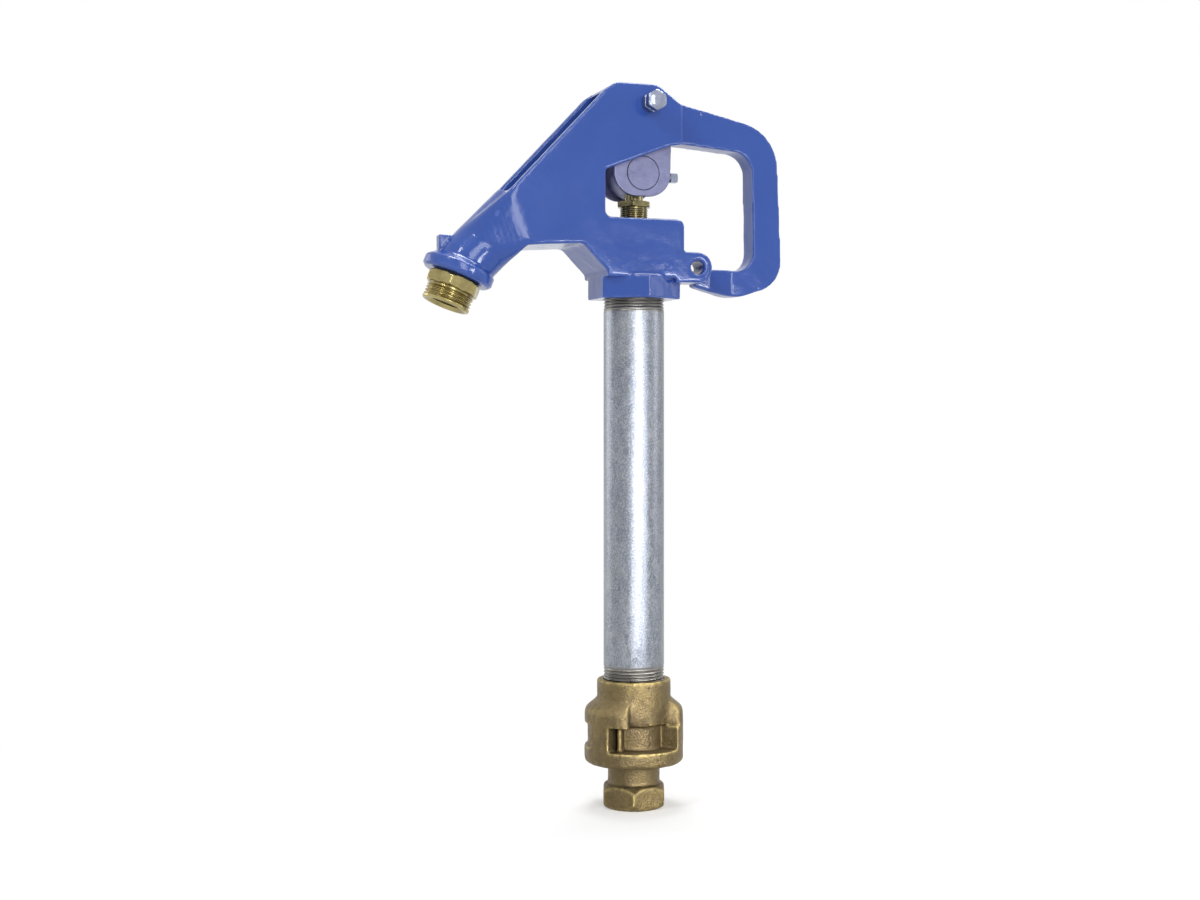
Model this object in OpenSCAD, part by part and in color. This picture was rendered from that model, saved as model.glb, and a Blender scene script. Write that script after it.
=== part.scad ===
// Lever-operated frost-proof garden standpipe (yard hydrant), in millimetres.
// The origin is on the riser's axis, at the bottom face of the inlet.
// +Z is up, the spout points to -X, and the handle is on the +X side.

/* [Riser] */
// Outside diameter of the riser pipe
pipe_od = 42.16; // [40:0.1:43]
// Wall of the riser pipe
pipe_wall = 3.56; // [2.5:0.1:4.5]
// Height of the riser pipe's lower end
pipe_bottom_z = 71; // [70:0.5:74]
// Height of the head's lower face
head_z = 352.5; // [300:1:450]
// How far the riser is screwed into the head
pipe_in_head = 18; // [14:1:20]
// Pitch of the pipe thread
pipe_pitch = 2.209; // [1.8:0.1:2.5]
// Depth of the thread grooves that are drawn
thread_depth = 1.1; // [0.5:0.1:1.5]

/* [Head casting] */
// Depth of the head, front face to rear face
head_depth = 52; // [50:1:58]
// Thickness of each cheek that carries the pivot
cheek = 6.4; // [5:0.2:8]
// Width of the square block over the riser
block_w = 56; // [54:1:60]
// Height of the block's top above the head's lower face
block_h = 54.5; // [53:0.5:60]
// Across flats of the hexagon at the head's foot
foot_af = 56.8; // [54:0.5:62]
// Height of the hexagon at the head's foot
foot_h = 15.5; // [12:0.5:18]
// Position of the lever pivot beside the riser's axis
pivot_x = 2.8; // [0:0.2:5]
// Height of the lever pivot above the block's top
pivot_h = 78.7; // [76:0.1:84]
// Height of the crosshead above the packing nut
crosshead_h = 17.9; // [16:0.1:18.5]
// Outside diameter of the spout tube
spout_od = 39.6; // [38:0.2:42]
// Diameter of the waterway in the spout
spout_bore = 25; // [20:0.5:28]
// Diameter of the waterway in the head's body
waterway_d = 16; // [12:0.5:17]
// Diameter of the collar at the spout's mouth
collar_od = 49; // [45:0.5:52]
// Length of the collar at the spout's mouth
collar_len = 9.5; // [8:0.5:12]
// Thickness of the pail hook
hook_t = 9; // [5:0.5:12]
// Depth of the padlock lug, back from the head's front face
lug_depth = 22; // [18:0.5:22.5]
// Outer radius of the padlock lug
lug_r = 10.6; // [9:0.2:12]
// Diameter of the padlock hole
padlock_d = 10; // [8:0.5:12]

/* [Lever and link] */
// Depth of the lever's D-shaped handle
handle_depth = 18; // [14:0.5:20]
// Distance from the pivot to the link pin
crank_r = 18; // [16:0.5:19]
// Direction of the link pin from the pivot, in degrees
crank_angle = -60; // [-70:1:-50]
// Diameter of the link pin
link_pin_d = 8; // [6:0.5:9]
// Thickness of a link plate
plate_t = 3; // [2:0.2:3.2]
// Radius of a link plate's lower corners
plate_r = 15.9; // [15:0.1:17]
// Half the straight part of a link plate's lower edge
plate_flat = 4.7; // [3:0.1:6]
// Diameter of the crosshead
crosshead_d = 29.2; // [26:0.2:30]
// Diameter of the crosshead's journals
journal_d = 23.2; // [20:0.2:25]
// Angle that the lever lifts through, in degrees
lift_angle = 60; // [50:1:62]

/* [Fasteners] */
// Diameter of the pivot bolt
bolt_d = 7.94; // [6:0.02:8.2]
// Across flats of the pivot bolt's head and nuts
bolt_af = 12.7; // [11:0.1:13.5]
// Height of the pivot bolt's head
bolt_head_h = 6; // [4:0.5:7]
// Height of the pivot nuts
nut_h = 6.5; // [5:0.1:7]
// Thickness of the pivot's flat washer
washer_t = 1.6; // [1:0.1:2]
// Diameter of the set screw in the crosshead
set_screw_d = 6.35; // [5:0.05:7]
// Length of the set screw under its head
set_screw_len = 20.4; // [16:0.1:22]
// Across flats of the set screw's square head
set_screw_af = 6.2; // [5.5:0.1:8]

/* [Rod and packing] */
// Diameter of the operating stem
stem_d = 12.7; // [12:0.1:13.5]
// Diameter of the pull rod
rod_d = 9.52; // [8:0.1:10]
// Outside diameter of the packing nut's thread
gland_d = 19.5; // [18.5:0.1:21]
// Across flats of the packing nut
gland_af = 22.2; // [21:0.1:25]
// Height of the packing nut's hexagon
gland_hex_h = 4; // [3:0.1:6]
// Height of the packing nut's hexagon above the block
gland_stand = 9.6; // [8:0.1:10]
// Outside diameter of the rod coupling
coupling_d = 18; // [16:0.5:22]

/* [Nozzle] */
// Lean of the nozzle from the vertical, in degrees
nozzle_lean = 22; // [20:1:26]
// Turn of the nozzle's hexagon about its own axis, in degrees
nozzle_turn = 10; // [0:1:60]
// Outside diameter of the hose thread
hose_d = 32.9; // [30:0.1:34]
// Length of the hose thread
hose_len = 9.5; // [8:0.5:12]
// Length of the neck between thread and hexagon
nozzle_neck = 2; // [1:0.5:3]
// Across flats of the nozzle's hexagon
nozzle_af = 34; // [33:0.5:36]
// Height of the nozzle's hexagon
nozzle_hex_h = 8; // [6:0.5:10]
// Diameter of the nozzle's bore
nozzle_bore = 23; // [18:0.5:25]
// Diameter of the thread that holds the nozzle in the spout
tail_d = 29; // [27.5:0.5:30.5]

/* [Valve] */
// Across flats of the inlet's hexagon
inlet_af = 42; // [41:0.5:46]
// Diameter of the inlet's thread
inlet_d = 32.4; // [30:0.1:33.5]
// Depth of the inlet's thread
inlet_len = 14; // [12:0.5:14]
// Diameter of the valve's neck
neck_d = 36.2; // [35.5:0.2:38]
// Outside diameter of the cage that guards the drain
cage_d = 68.8; // [64:0.5:72]
// Outside diameter of the valve's collar and inner sleeve
valve_collar_d = 51.2; // [50:0.2:54]
// Outside diameter of the inner sleeve seen through the windows
sleeve_d = 42; // [39:0.5:44]
// Height of the valve's top face
valve_top_z = 89; // [86:0.5:94]
// Diameter of the plunger's bore
plunger_bore = 30.8; // [29:0.2:31]
// Height of the drain port
drain_z = 57; // [56.6:0.1:57.2]
// Diameter of the drain port
drain_d = 4; // [3:0.2:4.4]
// Bore of the valve seat
seat_bore = 18; // [16:0.5:18]

/* [Fits] */
// Radial clearance of a pin or shaft that turns
run_gap = 0.05; // [0.02:0.01:0.09]
// Radial clearance of the stem in its packing
stem_gap = 0.08; // [0.05:0.01:0.1]
// Gap between a screwed piece and its seat, drawn so that they stay apart
seat_gap = 0.05; // [0.02:0.01:0.1]
// Clearance between pieces that slide past each other
slide_gap = 0.4; // [0.3:0.05:0.5]
// Clearance between the lever's hub and a link plate
hub_gap = 0.7; // [0.5:0.1:1]
// Clearance between the crosshead's body and a link plate
plate_gap = 0.3; // [0.3:0.05:0.4]

/* [Hidden] */
$fn = 96;

eps = 0.01;
blue = [0.22, 0.33, 0.72];
steel = [0.66, 0.66, 0.72];
zinc = [0.72, 0.74, 0.77];
brass = [0.72, 0.6, 0.28];
rubber = [0.08, 0.08, 0.09];

// Head
half_depth = head_depth / 2;
slot_half = half_depth - cheek;
block_top = head_z + block_h;
block_half = block_w / 2;
pivot = [pivot_x, block_top + pivot_h];
pivot_z = pivot[1];
pipe_r = pipe_od / 2;
pipe_bore_r = pipe_r - pipe_wall;
pipe_top_z = head_z + pipe_in_head;
chamber_r = pipe_bore_r - 0.5;
chamber_top = block_top - 21;
shoulder_t = 3.5;
packing_floor = chamber_top + shoulder_t;
window_x = -29.5;
channel_floor = block_top + 9;
// The spout's axis is the line z = x + spout_axis_z in the plane Y = 0
spout_axis_z = head_z + 142.5;
spout_elbow_x = -92;
spout_elbow = [spout_elbow_x, spout_axis_z + spout_elbow_x];
spout_r = spout_od / 2;

// Nozzle: distances along its axis are counted up from its mouth
mouth = [-134.8, head_z - 6.6];
gasket_t = 1;
hex_at = hose_len + nozzle_neck;
collar_at = hex_at + nozzle_hex_h + gasket_t;

// Padlock lug
lug = [block_half + 10, head_z + 21.7];
lug_rear = -half_depth + lug_depth;

// Link and crosshead
gland_hex_z = block_top + gland_stand;
crosshead_z0 = gland_hex_z + gland_hex_h + crosshead_h;
crosshead_r = crosshead_d / 2;
plate_out = slot_half - slide_gap;
plate_in = plate_out - plate_t;
crank_pin = pivot + crank_r * [cos(crank_angle), sin(crank_angle)];
link_len = norm(crank_pin - [0, crosshead_z0]);
link_start = asin(crank_pin[0] / link_len);
function pin_at(t) = pivot + crank_r * [cos(crank_angle + t), sin(crank_angle + t)];
function cross_z(t) = pin_at(t)[1] - sqrt(link_len * link_len - pow(pin_at(t)[0], 2));
rod_lift = cross_z(lift_angle) - crosshead_z0;
link_swing = asin(pin_at(lift_angle)[0] / link_len) - link_start;
// Where the link pin stands in the link's own frame when the lever is at angle t
function turned(p, a) = [cos(a) * p[0] - sin(a) * p[1], sin(a) * p[0] + cos(a) * p[1]];
function pin_in_link(t) = [0, crosshead_z0] + turned(
    pin_at(t) - [0, crosshead_z0 + rod_lift * t / lift_angle], link_swing * t / lift_angle);
slot_end = pin_in_link(lift_angle * 0.52);
slot_r = link_pin_d / 2 + 0.7;
strap_r = slot_r + 2.8;
// Where the crosshead stands in the lever's own frame when the lever is at angle t
function cross_in_lever(t) = pivot + turned(
    [0, crosshead_z0 + rod_lift * t / lift_angle] - pivot, -t);

// Pivot
bolt_r = bolt_d / 2;
bush_bore_r = bolt_r + run_gap;
bush_r = bush_bore_r + 1.6;
boss_r = bush_r + 2.2;
boss_half = slot_half - slide_gap;
lock_t = 2;
head_base = half_depth + nut_h + lock_t + 2 * seat_gap;

// Rod and packing
stem_r = stem_d / 2;
rod_r = rod_d / 2;
stem_bottom = head_z;
stem_top = crosshead_z0 + crosshead_r - 2;
gland_r = gland_d / 2;
packing_washer_t = 1.5;
packing_ring_h = 2;
packing_count = 3;
packing_z = packing_floor + packing_washer_t;
gland_bottom = packing_z + packing_count * packing_ring_h + 2 * seat_gap;
coupling_len = 22;
coupling_top = head_z + 10.5;
coupling_bottom = coupling_top - coupling_len;

// Valve
neck_r = neck_d / 2;
cage_r = cage_d / 2;
collar_r = valve_collar_d / 2;
sleeve_r = sleeve_d / 2;
inlet_r = inlet_d / 2;
plunger_bore_r = plunger_bore / 2;
cage_bottom = 31;
window_bottom = 42;
window_top = 59;
cage_top = 75;
web_top = inlet_len + 2.5;
seat_top = web_top + 5.5;
seat_r = 12.4;
// Turn of the valve about the riser, so that its window faces the front
valve_turn = -94;
window_half_angle = 47;
recess_turn = 15;
recess_half_angle = 37;

// Plunger
rubber_r = 11;
rubber_h = 5;
boss_h = 3;
piston_bottom = seat_top + seat_gap + rubber_h + boss_h;
piston_len = 20;
piston_r = plunger_bore_r - 0.3;
piston_top = piston_bottom + piston_len;
seal_depth = 1.4;
seal_w = 2.6;
seal_inset = 2.5;
screw_r = 3;
screw_len = 16;
rod_bottom = seat_top + seat_gap + screw_len - 1.6 + 1;

// A plate in the XZ plane, from y0 to y1
module slab(y0, y1) {
    translate([0, y1, 0]) rotate([90, 0, 0]) linear_extrude(y1 - y0) children();
}

// A round bar along Y through the point p = [x, z]
module bar_y(p, r, y0, y1) {
    translate([p[0], y1, p[1]]) rotate([90, 0, 0]) cylinder(r = r, h = y1 - y0);
}

// A round bar in the plane Y = 0, from point p to point q
module bar_xz(p, q, r0, r1) {
    d = q - p;
    translate([p[0], 0, p[1]]) rotate([0, atan2(d[0], d[1]), 0])
        cylinder(r1 = r0, r2 = r1, h = norm(d));
}

// A hexagon along Y through the point p = [x, z], one corner upwards
module hex_y(p, af, y0, y1) {
    translate([p[0], y1, p[1]]) rotate([90, 0, 0]) rotate(30)
        cylinder(r = af / sqrt(3), h = y1 - y0, $fn = 6);
}

// A tube with its foot at z
module tube(z, h, outer, inner) {
    translate([0, 0, z]) difference() {
        cylinder(r = outer, h = h);
        translate([0, 0, -1]) cylinder(r = inner, h = h + 2);
    }
}

// A hexagonal bar with its foot at z
module hex_bar(z, h, af) {
    translate([0, 0, z]) cylinder(r = af / sqrt(3), h = h, $fn = 6);
}

// Corner points of a path whose corners [x, z, radius] are rounded
function unit(v) = v / norm(v);
function corner(a, b, c) =
    let (p = [b[0], b[1]], u = unit([a[0], a[1]] - p), w = unit([c[0], c[1]] - p),
        half = acos(u * w) / 2, t = b[2] / tan(half), mid = p + unit(u + w) * b[2] / sin(half),
        start = p + u * t - mid, side = sign(u[0] * w[1] - u[1] * w[0]),
        turn = (180 - 2 * half) * side, steps = max(2, ceil(abs(turn) / 12)))
    [for (i = [0:steps]) mid + turned(start, -turn * i / steps)];
function rounded(path) = [for (i = [0:len(path) - 1])
    let (n = len(path), b = path[i])
    each b[2] > 0 ? corner(path[(i + n - 1) % n], b, path[(i + 1) % n]) : [[b[0], b[1]]]];

// Outline of a bar of radius r with thread grooves from z0 to z1
function groove(z, r) = [[r, z + pipe_pitch * 0.12], [r - thread_depth, z + pipe_pitch * 0.5],
    [r, z + pipe_pitch * 0.88]];
function grooves(z0, z1, r) = [for (i = [0:floor((z1 - z0) / pipe_pitch) - 1])
    each groove(z0 + i * pipe_pitch, r)];

// Places children on the nozzle's axis, with +Z pointing up into the spout
module on_nozzle() {
    translate([mouth[0], 0, mouth[1]]) rotate([0, nozzle_lean, 0]) children();
}

module head_outline() {
    z = head_z;
    polygon(rounded([
        [-block_half, z + 14, 0], [-block_half, z + 18, 2], [-45.5, z + 36, 6],
        [-84, z + 33.5, 0], [-97, z + 69.3, 0], [pivot_x - 32.3, pivot_z + 7.8, 6],
        [pivot_x - 24.8, pivot_z + 13, 10], [pivot_x + 5.2, pivot_z + 13, 12],
        [pivot_x + 23.6, pivot_z - 0.2, 5], [pivot_x + 23.8, pivot_z - 27.2, 1.5],
        [pivot_x + 14.2, pivot_z - 28.7, 3], [window_x, pivot_z - 46.7, 1.5],
        [window_x, block_top, 4.5], [block_half, block_top, 5],
        [block_half, z + 14, 0]]));
}

module head_solid() {
    slab(-half_depth, half_depth) head_outline();
    rotate(90) hex_bar(head_z, foot_h, foot_af);
    // The flat cheeks run out into the round spout
    hull() {
        slab(-half_depth, half_depth)
            polygon([[-84, head_z + 33.5], [-80, head_z + 50], [-84, head_z + 69.3], [-97, head_z + 69.3]]);
        bar_xz([-112, spout_axis_z - 112], [-111, spout_axis_z - 111], spout_r - 0.5, spout_r - 0.5,
            $fn = 32);
    }
    bar_xz([-120, spout_axis_z - 120], [-82, spout_axis_z - 82], spout_r, spout_r);
    // The spout bends down into its collar
    hull() {
        bar_xz([-120, spout_axis_z - 120], [-119, spout_axis_z - 119], spout_r - 0.2, spout_r - 0.2,
            $fn = 32);
        on_nozzle() translate([0, 0, collar_at + 2]) cylinder(r = spout_r - 0.2, h = 2, $fn = 32);
    }
    on_nozzle() translate([0, 0, collar_at]) {
        cylinder(r1 = collar_od / 2 - 2, r2 = collar_od / 2, h = 2);
        translate([0, 0, 2]) cylinder(r = collar_od / 2, h = collar_len - 4);
        translate([0, 0, collar_len - 2]) cylinder(r1 = collar_od / 2, r2 = spout_r, h = 3.5);
    }
    // Pail hook
    slab(-hook_t / 2, hook_t / 2) polygon([[-139.8, mouth[1] + 31], [-139.8, mouth[1] + 47.5],
        [-126.5, mouth[1] + 46.5], [-118, mouth[1] + 39]]);
    // Padlock lug
    slab(-half_depth, lug_rear) union() {
        translate(lug) circle(r = lug_r);
        translate([block_half - 6, lug[1] - lug_r]) square([lug[0] - block_half + 6, 2 * lug_r]);
    }
}

module head_casting() {
    color(blue) difference() {
        head_solid();
        // Slot between the cheeks, open at the top and on the handle's side
        slab(-slot_half, slot_half) polygon([[-99, channel_floor + 10.5], [-86, channel_floor],
            [window_x - 7, channel_floor], [window_x, block_top], [45, block_top],
            [45, pivot_z + 27], [-70, pivot_z + 27]]);
        // Riser thread and chamber
        translate([0, 0, head_z - eps]) cylinder(r = pipe_r + seat_gap, h = pipe_in_head + eps);
        translate([0, 0, pipe_top_z - eps])
            cylinder(r = chamber_r, h = chamber_top - pipe_top_z + eps);
        // Packing bore and the stem's hole under it
        translate([0, 0, packing_floor])
            cylinder(r = gland_r + seat_gap, h = block_top - packing_floor + 1);
        translate([0, 0, chamber_top - 1]) cylinder(r = stem_r + slide_gap, h = shoulder_t + 2);
        // Waterway from the chamber to the spout's mouth
        bar_xz([-13, chamber_top - 7], [-44, spout_elbow[1]], waterway_d / 2, waterway_d / 2);
        bar_xz([-40, spout_elbow[1]], spout_elbow, waterway_d / 2, waterway_d / 2);
        bar_xz(spout_elbow, [-124.5, spout_axis_z - 124.5], spout_bore / 2, spout_bore / 2);
        on_nozzle() translate([0, 0, collar_at - 1]) cylinder(r = tail_d / 2 + seat_gap, h = 12);
        bar_y(pivot, bolt_r + seat_gap, -half_depth - 1, half_depth + 1);
        bar_y(lug, padlock_d / 2, -half_depth - 1, lug_rear + 1);
    }
}

module handle_outline() {
    top = pivot_z;
    foot = lug[1];
    polygon(rounded([[10, top + 9.3, 0], [24, top + 5.6, 0], [105, top - 12.2, 33],
        [109.3, foot - 8.2, 22], [74, foot - 19.7, 25], [lug[0] + 6.5, foot - 11.7, 2],
        [lug[0] + 6.5, foot + 0.3, 3], [60, foot + 0.9, 6], [87, foot - 1.2, 13],
        [86, top - 28.4, 15], [24, top - 23.4, 8], [14, top - 22.2, 0]]));
}

module hub_outline() {
    polygon([for (p = [[-27.3, 11.4], [-10.8, 12.4], [6.2, 12], [21.2, 5.4], [21.2, -23.2]]) pivot + p,
        crank_pin - [0, link_pin_d - 0.1], pivot - [0.8, 12], pivot - [boss_r, 3],
        pivot + [-30, 8.4]]);
    translate(crank_pin) circle(r = link_pin_d);
}

module lever() {
    tail_front = lug_rear + 1.5;
    hub_half = plate_in - hub_gap;
    color(blue) difference() {
        union() {
            slab(-handle_depth / 2, handle_depth / 2) handle_outline();
            slab(-hub_half, hub_half) hub_outline();
            bar_y(pivot, boss_r, -boss_half, boss_half);
        }
        // The tail steps back behind the padlock lug
        translate([0, 0, lug[1] - 22]) linear_extrude(27) polygon([[lug[0] + 2, -handle_depth],
            [lug[0] + 32.5, -handle_depth], [lug[0] + 32.5, -handle_depth / 2],
            [lug[0] + 17.5, tail_front], [lug[0] + 2, tail_front]]);
        // Room for the crosshead as it rises
        for (t = [0:lift_angle / 6:lift_angle])
            bar_y(cross_in_lever(t), crosshead_r + 0.8, -half_depth, half_depth);
        bar_y(pivot, bush_r + seat_gap, -half_depth, half_depth);
        bar_y(crank_pin, link_pin_d / 2 + seat_gap, -half_depth, half_depth);
    }
}

module lever_bush() {
    color(brass) difference() {
        bar_y(pivot, bush_r, -boss_half, boss_half);
        bar_y(pivot, bush_bore_r, -half_depth, half_depth);
    }
}

module pivot_bolt() {
    color(zinc) {
        bar_y(pivot, bolt_r, -head_base - 1, half_depth + washer_t + nut_h + 2);
        hex_y(pivot, bolt_af, -head_base - bolt_head_h, -head_base - seat_gap);
    }
}

// A hexagon nut on the pivot bolt with its rear face at y
module pivot_nut(y) {
    color(zinc) difference() {
        hex_y(pivot, bolt_af, y - nut_h, y);
        bar_y(pivot, bolt_r + seat_gap, y - nut_h - 1, y + 1);
    }
}

module pivot_jam_nut() {
    pivot_nut(-half_depth);
}

module pivot_rear_nut() {
    pivot_nut(half_depth + washer_t + nut_h);
}

module pivot_lock_washer() {
    y = -half_depth - nut_h - seat_gap;
    color(zinc) difference() {
        bar_y(pivot, bolt_r + 1.8, y - lock_t, y);
        bar_y(pivot, bolt_r + seat_gap, y - lock_t - 1, y + 1);
        // The spring washer's slanting split
        translate([pivot[0], y - lock_t / 2, pivot[1] + bolt_r]) rotate([0, 0, 35])
            cube([0.8, 3 * lock_t, 8], center = true);
    }
}

module pivot_rear_washer() {
    color(zinc) difference() {
        bar_y(pivot, bolt_af * 0.62, half_depth, half_depth + washer_t);
        bar_y(pivot, bolt_r + seat_gap, half_depth - 1, half_depth + washer_t + 1);
    }
}

// A broad round foot about the crosshead, and a strap that goes up past the pivot's boss
module link_outline() {
    hull() for (side = [-1, 1])
        translate([side * plate_flat - 0.5, crosshead_z0]) circle(r = plate_r, $fn = 64);
    hull() {
        translate([plate_flat - 0.5 + plate_r - strap_r, crosshead_z0 + 4]) circle(r = strap_r, $fn = 32);
        translate(crank_pin) circle(r = strap_r, $fn = 32);
        translate(slot_end) circle(r = strap_r - 0.6, $fn = 32);
    }
}

module link_plate(y0) {
    color(steel) difference() {
        slab(y0, y0 + plate_t) link_outline();
        bar_y([0, crosshead_z0], journal_d / 2 + run_gap, y0 - 1, y0 + plate_t + 1);
        // The slot that lets the link lag behind the lever's pin
        bar_y(crank_pin, slot_r, y0 - 1, y0 + plate_t + 1);
        bar_y(slot_end, slot_r, y0 - 1, y0 + plate_t + 1);
        translate([crank_pin[0], y0 - 1, crank_pin[1]])
            rotate([0, -atan2(slot_end[1] - crank_pin[1], slot_end[0] - crank_pin[0]), 0])
                translate([0, 0, -slot_r])
                    cube([norm(slot_end - crank_pin), plate_t + 2, 2 * slot_r]);
    }
}

module link_plate_front() {
    link_plate(-plate_out);
}

module link_plate_rear() {
    link_plate(plate_in);
}

module link_pin() {
    color(steel) bar_y(crank_pin, link_pin_d / 2, -plate_out, plate_out);
}

module crosshead() {
    color(steel * 0.8) difference() {
        union() {
            bar_y([0, crosshead_z0], crosshead_r, -plate_in + plate_gap, plate_in - plate_gap);
            bar_y([0, crosshead_z0], journal_d / 2, -plate_out, plate_out);
        }
        translate([0, 0, crosshead_z0 - crosshead_r - 1])
            cylinder(r = stem_r + seat_gap, h = stem_top - crosshead_z0 + crosshead_r + 1);
        translate([0, 0, crosshead_z0]) rotate([0, 90, 0])
            cylinder(r = set_screw_d / 2 + seat_gap, h = crosshead_r + 5);
    }
}

module crosshead_set_screw() {
    color(zinc) translate([0, 0, crosshead_z0]) rotate([0, 90, 0]) {
        translate([0, 0, stem_r + seat_gap]) cylinder(r = set_screw_d / 2, h = set_screw_len);
        translate([0, 0, stem_r + set_screw_len]) rotate(45)
            cylinder(r = set_screw_af / sqrt(2), h = 5.2, $fn = 4);
    }
}

module operating_stem() {
    color(brass) translate([0, 0, stem_bottom]) cylinder(r = stem_r, h = stem_top - stem_bottom);
}

module rod_coupling() {
    color(brass) difference() {
        union() {
            translate([0, 0, coupling_bottom]) cylinder(r = coupling_d / 2, h = coupling_len);
            hex_bar(coupling_bottom + 5, coupling_len - 10, coupling_d);
        }
        translate([0, 0, coupling_bottom - 1])
            cylinder(r = rod_r + seat_gap, h = coupling_len + 2);
        translate([0, 0, stem_bottom - seat_gap]) cylinder(r = stem_r + seat_gap, h = coupling_len);
    }
}

module pull_rod() {
    color(zinc) translate([0, 0, rod_bottom])
        cylinder(r = rod_r, h = stem_bottom - 2 * seat_gap - rod_bottom);
}

module packing_nut() {
    color(brass) difference() {
        union() {
            translate([0, 0, gland_bottom]) cylinder(r = gland_r, h = gland_hex_z - gland_bottom + 1);
            rotate(8) hex_bar(gland_hex_z, gland_hex_h, gland_af);
        }
        translate([0, 0, gland_bottom - 1])
            cylinder(r = stem_r + stem_gap, h = gland_hex_z + gland_hex_h - gland_bottom + 2);
    }
}

module packing_rings() {
    color(rubber) for (i = [0:packing_count - 1])
        tube(packing_z + seat_gap + i * packing_ring_h, packing_ring_h - seat_gap,
            gland_r, stem_r + stem_gap);
}

module packing_washer() {
    color(brass) tube(packing_floor, packing_washer_t, gland_r, stem_r + stem_gap);
}

module hose_nozzle() {
    r = hose_d / 2;
    inner = nozzle_bore / 2 - 3;
    color(brass) on_nozzle() difference() {
        union() {
            rotate_extrude() polygon(concat([[inner, 0], [r - 0.9, 0], [r, 0.9]],
                grooves(2.2, hose_len, r), [[r, hose_len], [r - thread_depth, hose_len + 0.4],
                [r - thread_depth, hex_at + 0.5], [inner, hex_at + 0.5]]));
            rotate(nozzle_turn) hex_bar(hex_at, nozzle_hex_h, nozzle_af);
            translate([0, 0, hex_at + nozzle_hex_h - eps]) cylinder(r = tail_d / 2, h = 9.5);
        }
        translate([0, 0, -1]) cylinder(r = nozzle_bore / 2, h = collar_at + 20);
        translate([0, 0, -1]) cylinder(r1 = nozzle_bore / 2 + 2.4, r2 = nozzle_bore / 2, h = 2.4);
    }
}

module nozzle_gasket() {
    color(rubber) on_nozzle() tube(collar_at - gasket_t + seat_gap, gasket_t - 2 * seat_gap,
        nozzle_af / 2 - 1.2, tail_d / 2 + seat_gap);
}

module riser_pipe() {
    low_end = valve_top_z + 10.5;
    high_start = head_z - 9;
    color(zinc) difference() {
        rotate_extrude() polygon(concat([[5, pipe_bottom_z], [pipe_r, pipe_bottom_z]],
            grooves(pipe_bottom_z + 1, low_end, pipe_r), grooves(high_start, pipe_top_z - 0.5, pipe_r),
            [[pipe_r, pipe_top_z], [5, pipe_top_z]]));
        translate([0, 0, pipe_bottom_z - 1])
            cylinder(r = pipe_bore_r, h = pipe_top_z - pipe_bottom_z + 2);
    }
}

// A wedge about the riser's axis, half_angle to each side of the direction turn
module sector(turn, half_angle, z0, z1, reach) {
    points = [for (i = [-4:4]) reach * 1.3 * [cos(turn + half_angle * i / 4),
        sin(turn + half_angle * i / 4)]];
    translate([0, 0, z0]) linear_extrude(z1 - z0) polygon(concat([[0, 0]], points));
}

module valve_outer() {
    // Hexagon of the inlet, with its corners turned down
    intersection() {
        rotate(-20 - 90) hex_bar(0, 16.5, inlet_af);
        rotate_extrude() polygon([[0, 0], [inlet_af / 2 - 1.5, 0], [inlet_af / 2 + 1, 1.5],
            [inlet_af / sqrt(3), 5], [inlet_af / sqrt(3), 12.5], [inlet_af / 2 + 0.3, 15.2],
            [inlet_af / 2 - 1, 16.5], [0, 16.5]]);
    }
    difference() {
        rotate_extrude() polygon(rounded([[0, 1, 0], [neck_r, 1, 0], [neck_r, cage_bottom, 2],
            [cage_r, cage_bottom, 4], [cage_r, cage_top - 6, 6], [collar_r, cage_top + 1, 0],
            [collar_r, valve_top_z, 1], [0, valve_top_z, 0]]));
        // The outer part of the post to the left of the front window lies back a little
        difference() {
            sector(valve_turn - 105.5, 29.5, window_bottom + 1.5, window_top, cage_r);
            translate([0, 0, window_bottom]) cylinder(r = cage_r - 2.2, h = 20);
        }
        for (flip = [0, 180]) {
            // Windows in the cage
            difference() {
                sector(valve_turn + flip, window_half_angle, window_bottom, window_top, cage_r);
                translate([0, 0, window_bottom - 1]) cylinder(r = sleeve_r, h = 20);
            }
            // The collar stands clear of the cage over each window
            difference() {
                sector(valve_turn + recess_turn + flip, recess_half_angle, window_top - 1,
                    cage_top + 3, cage_r);
                translate([0, 0, window_top - 2]) cylinder(r = collar_r, h = 20);
            }
        }
    }
    // A small rib in each window
    for (flip = [0, 180]) rotate(valve_turn - 38 + flip)
        translate([sleeve_r - 1, -1.4, window_bottom - 1]) cube([7, 2.8, window_top - window_bottom + 2]);
}

module valve_body() {
    color(brass) difference() {
        valve_outer();
        translate([0, 0, -1]) cylinder(r = inlet_r, h = inlet_len + 1);
        translate([0, 0, inlet_len - 1]) cylinder(r = seat_bore / 2 + 0.5, h = 10);
        translate([0, 0, web_top]) cylinder(r = seat_r + seat_gap, h = 10);
        translate([0, 0, seat_top - 1])
            cylinder(r = plunger_bore_r, h = pipe_bottom_z - seat_top + 2);
        translate([0, 0, pipe_bottom_z - seat_gap]) cylinder(r = pipe_r + seat_gap, h = 30);
        // Drain port, in the rear window
        rotate(valve_turn + 180) translate([0, 0, drain_z])
            rotate([0, 90, 0]) cylinder(r = drain_d / 2, h = sleeve_r + 1);
    }
}

module valve_seat() {
    color(brass) difference() {
        translate([0, 0, web_top + seat_gap]) {
            cylinder(r = seat_r, h = seat_top - web_top - seat_gap - 1);
            cylinder(r1 = seat_r, r2 = seat_r - 1.4, h = seat_top - web_top - seat_gap);
        }
        translate([0, 0, web_top - 1]) cylinder(r = seat_bore / 2, h = 10);
    }
}

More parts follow.
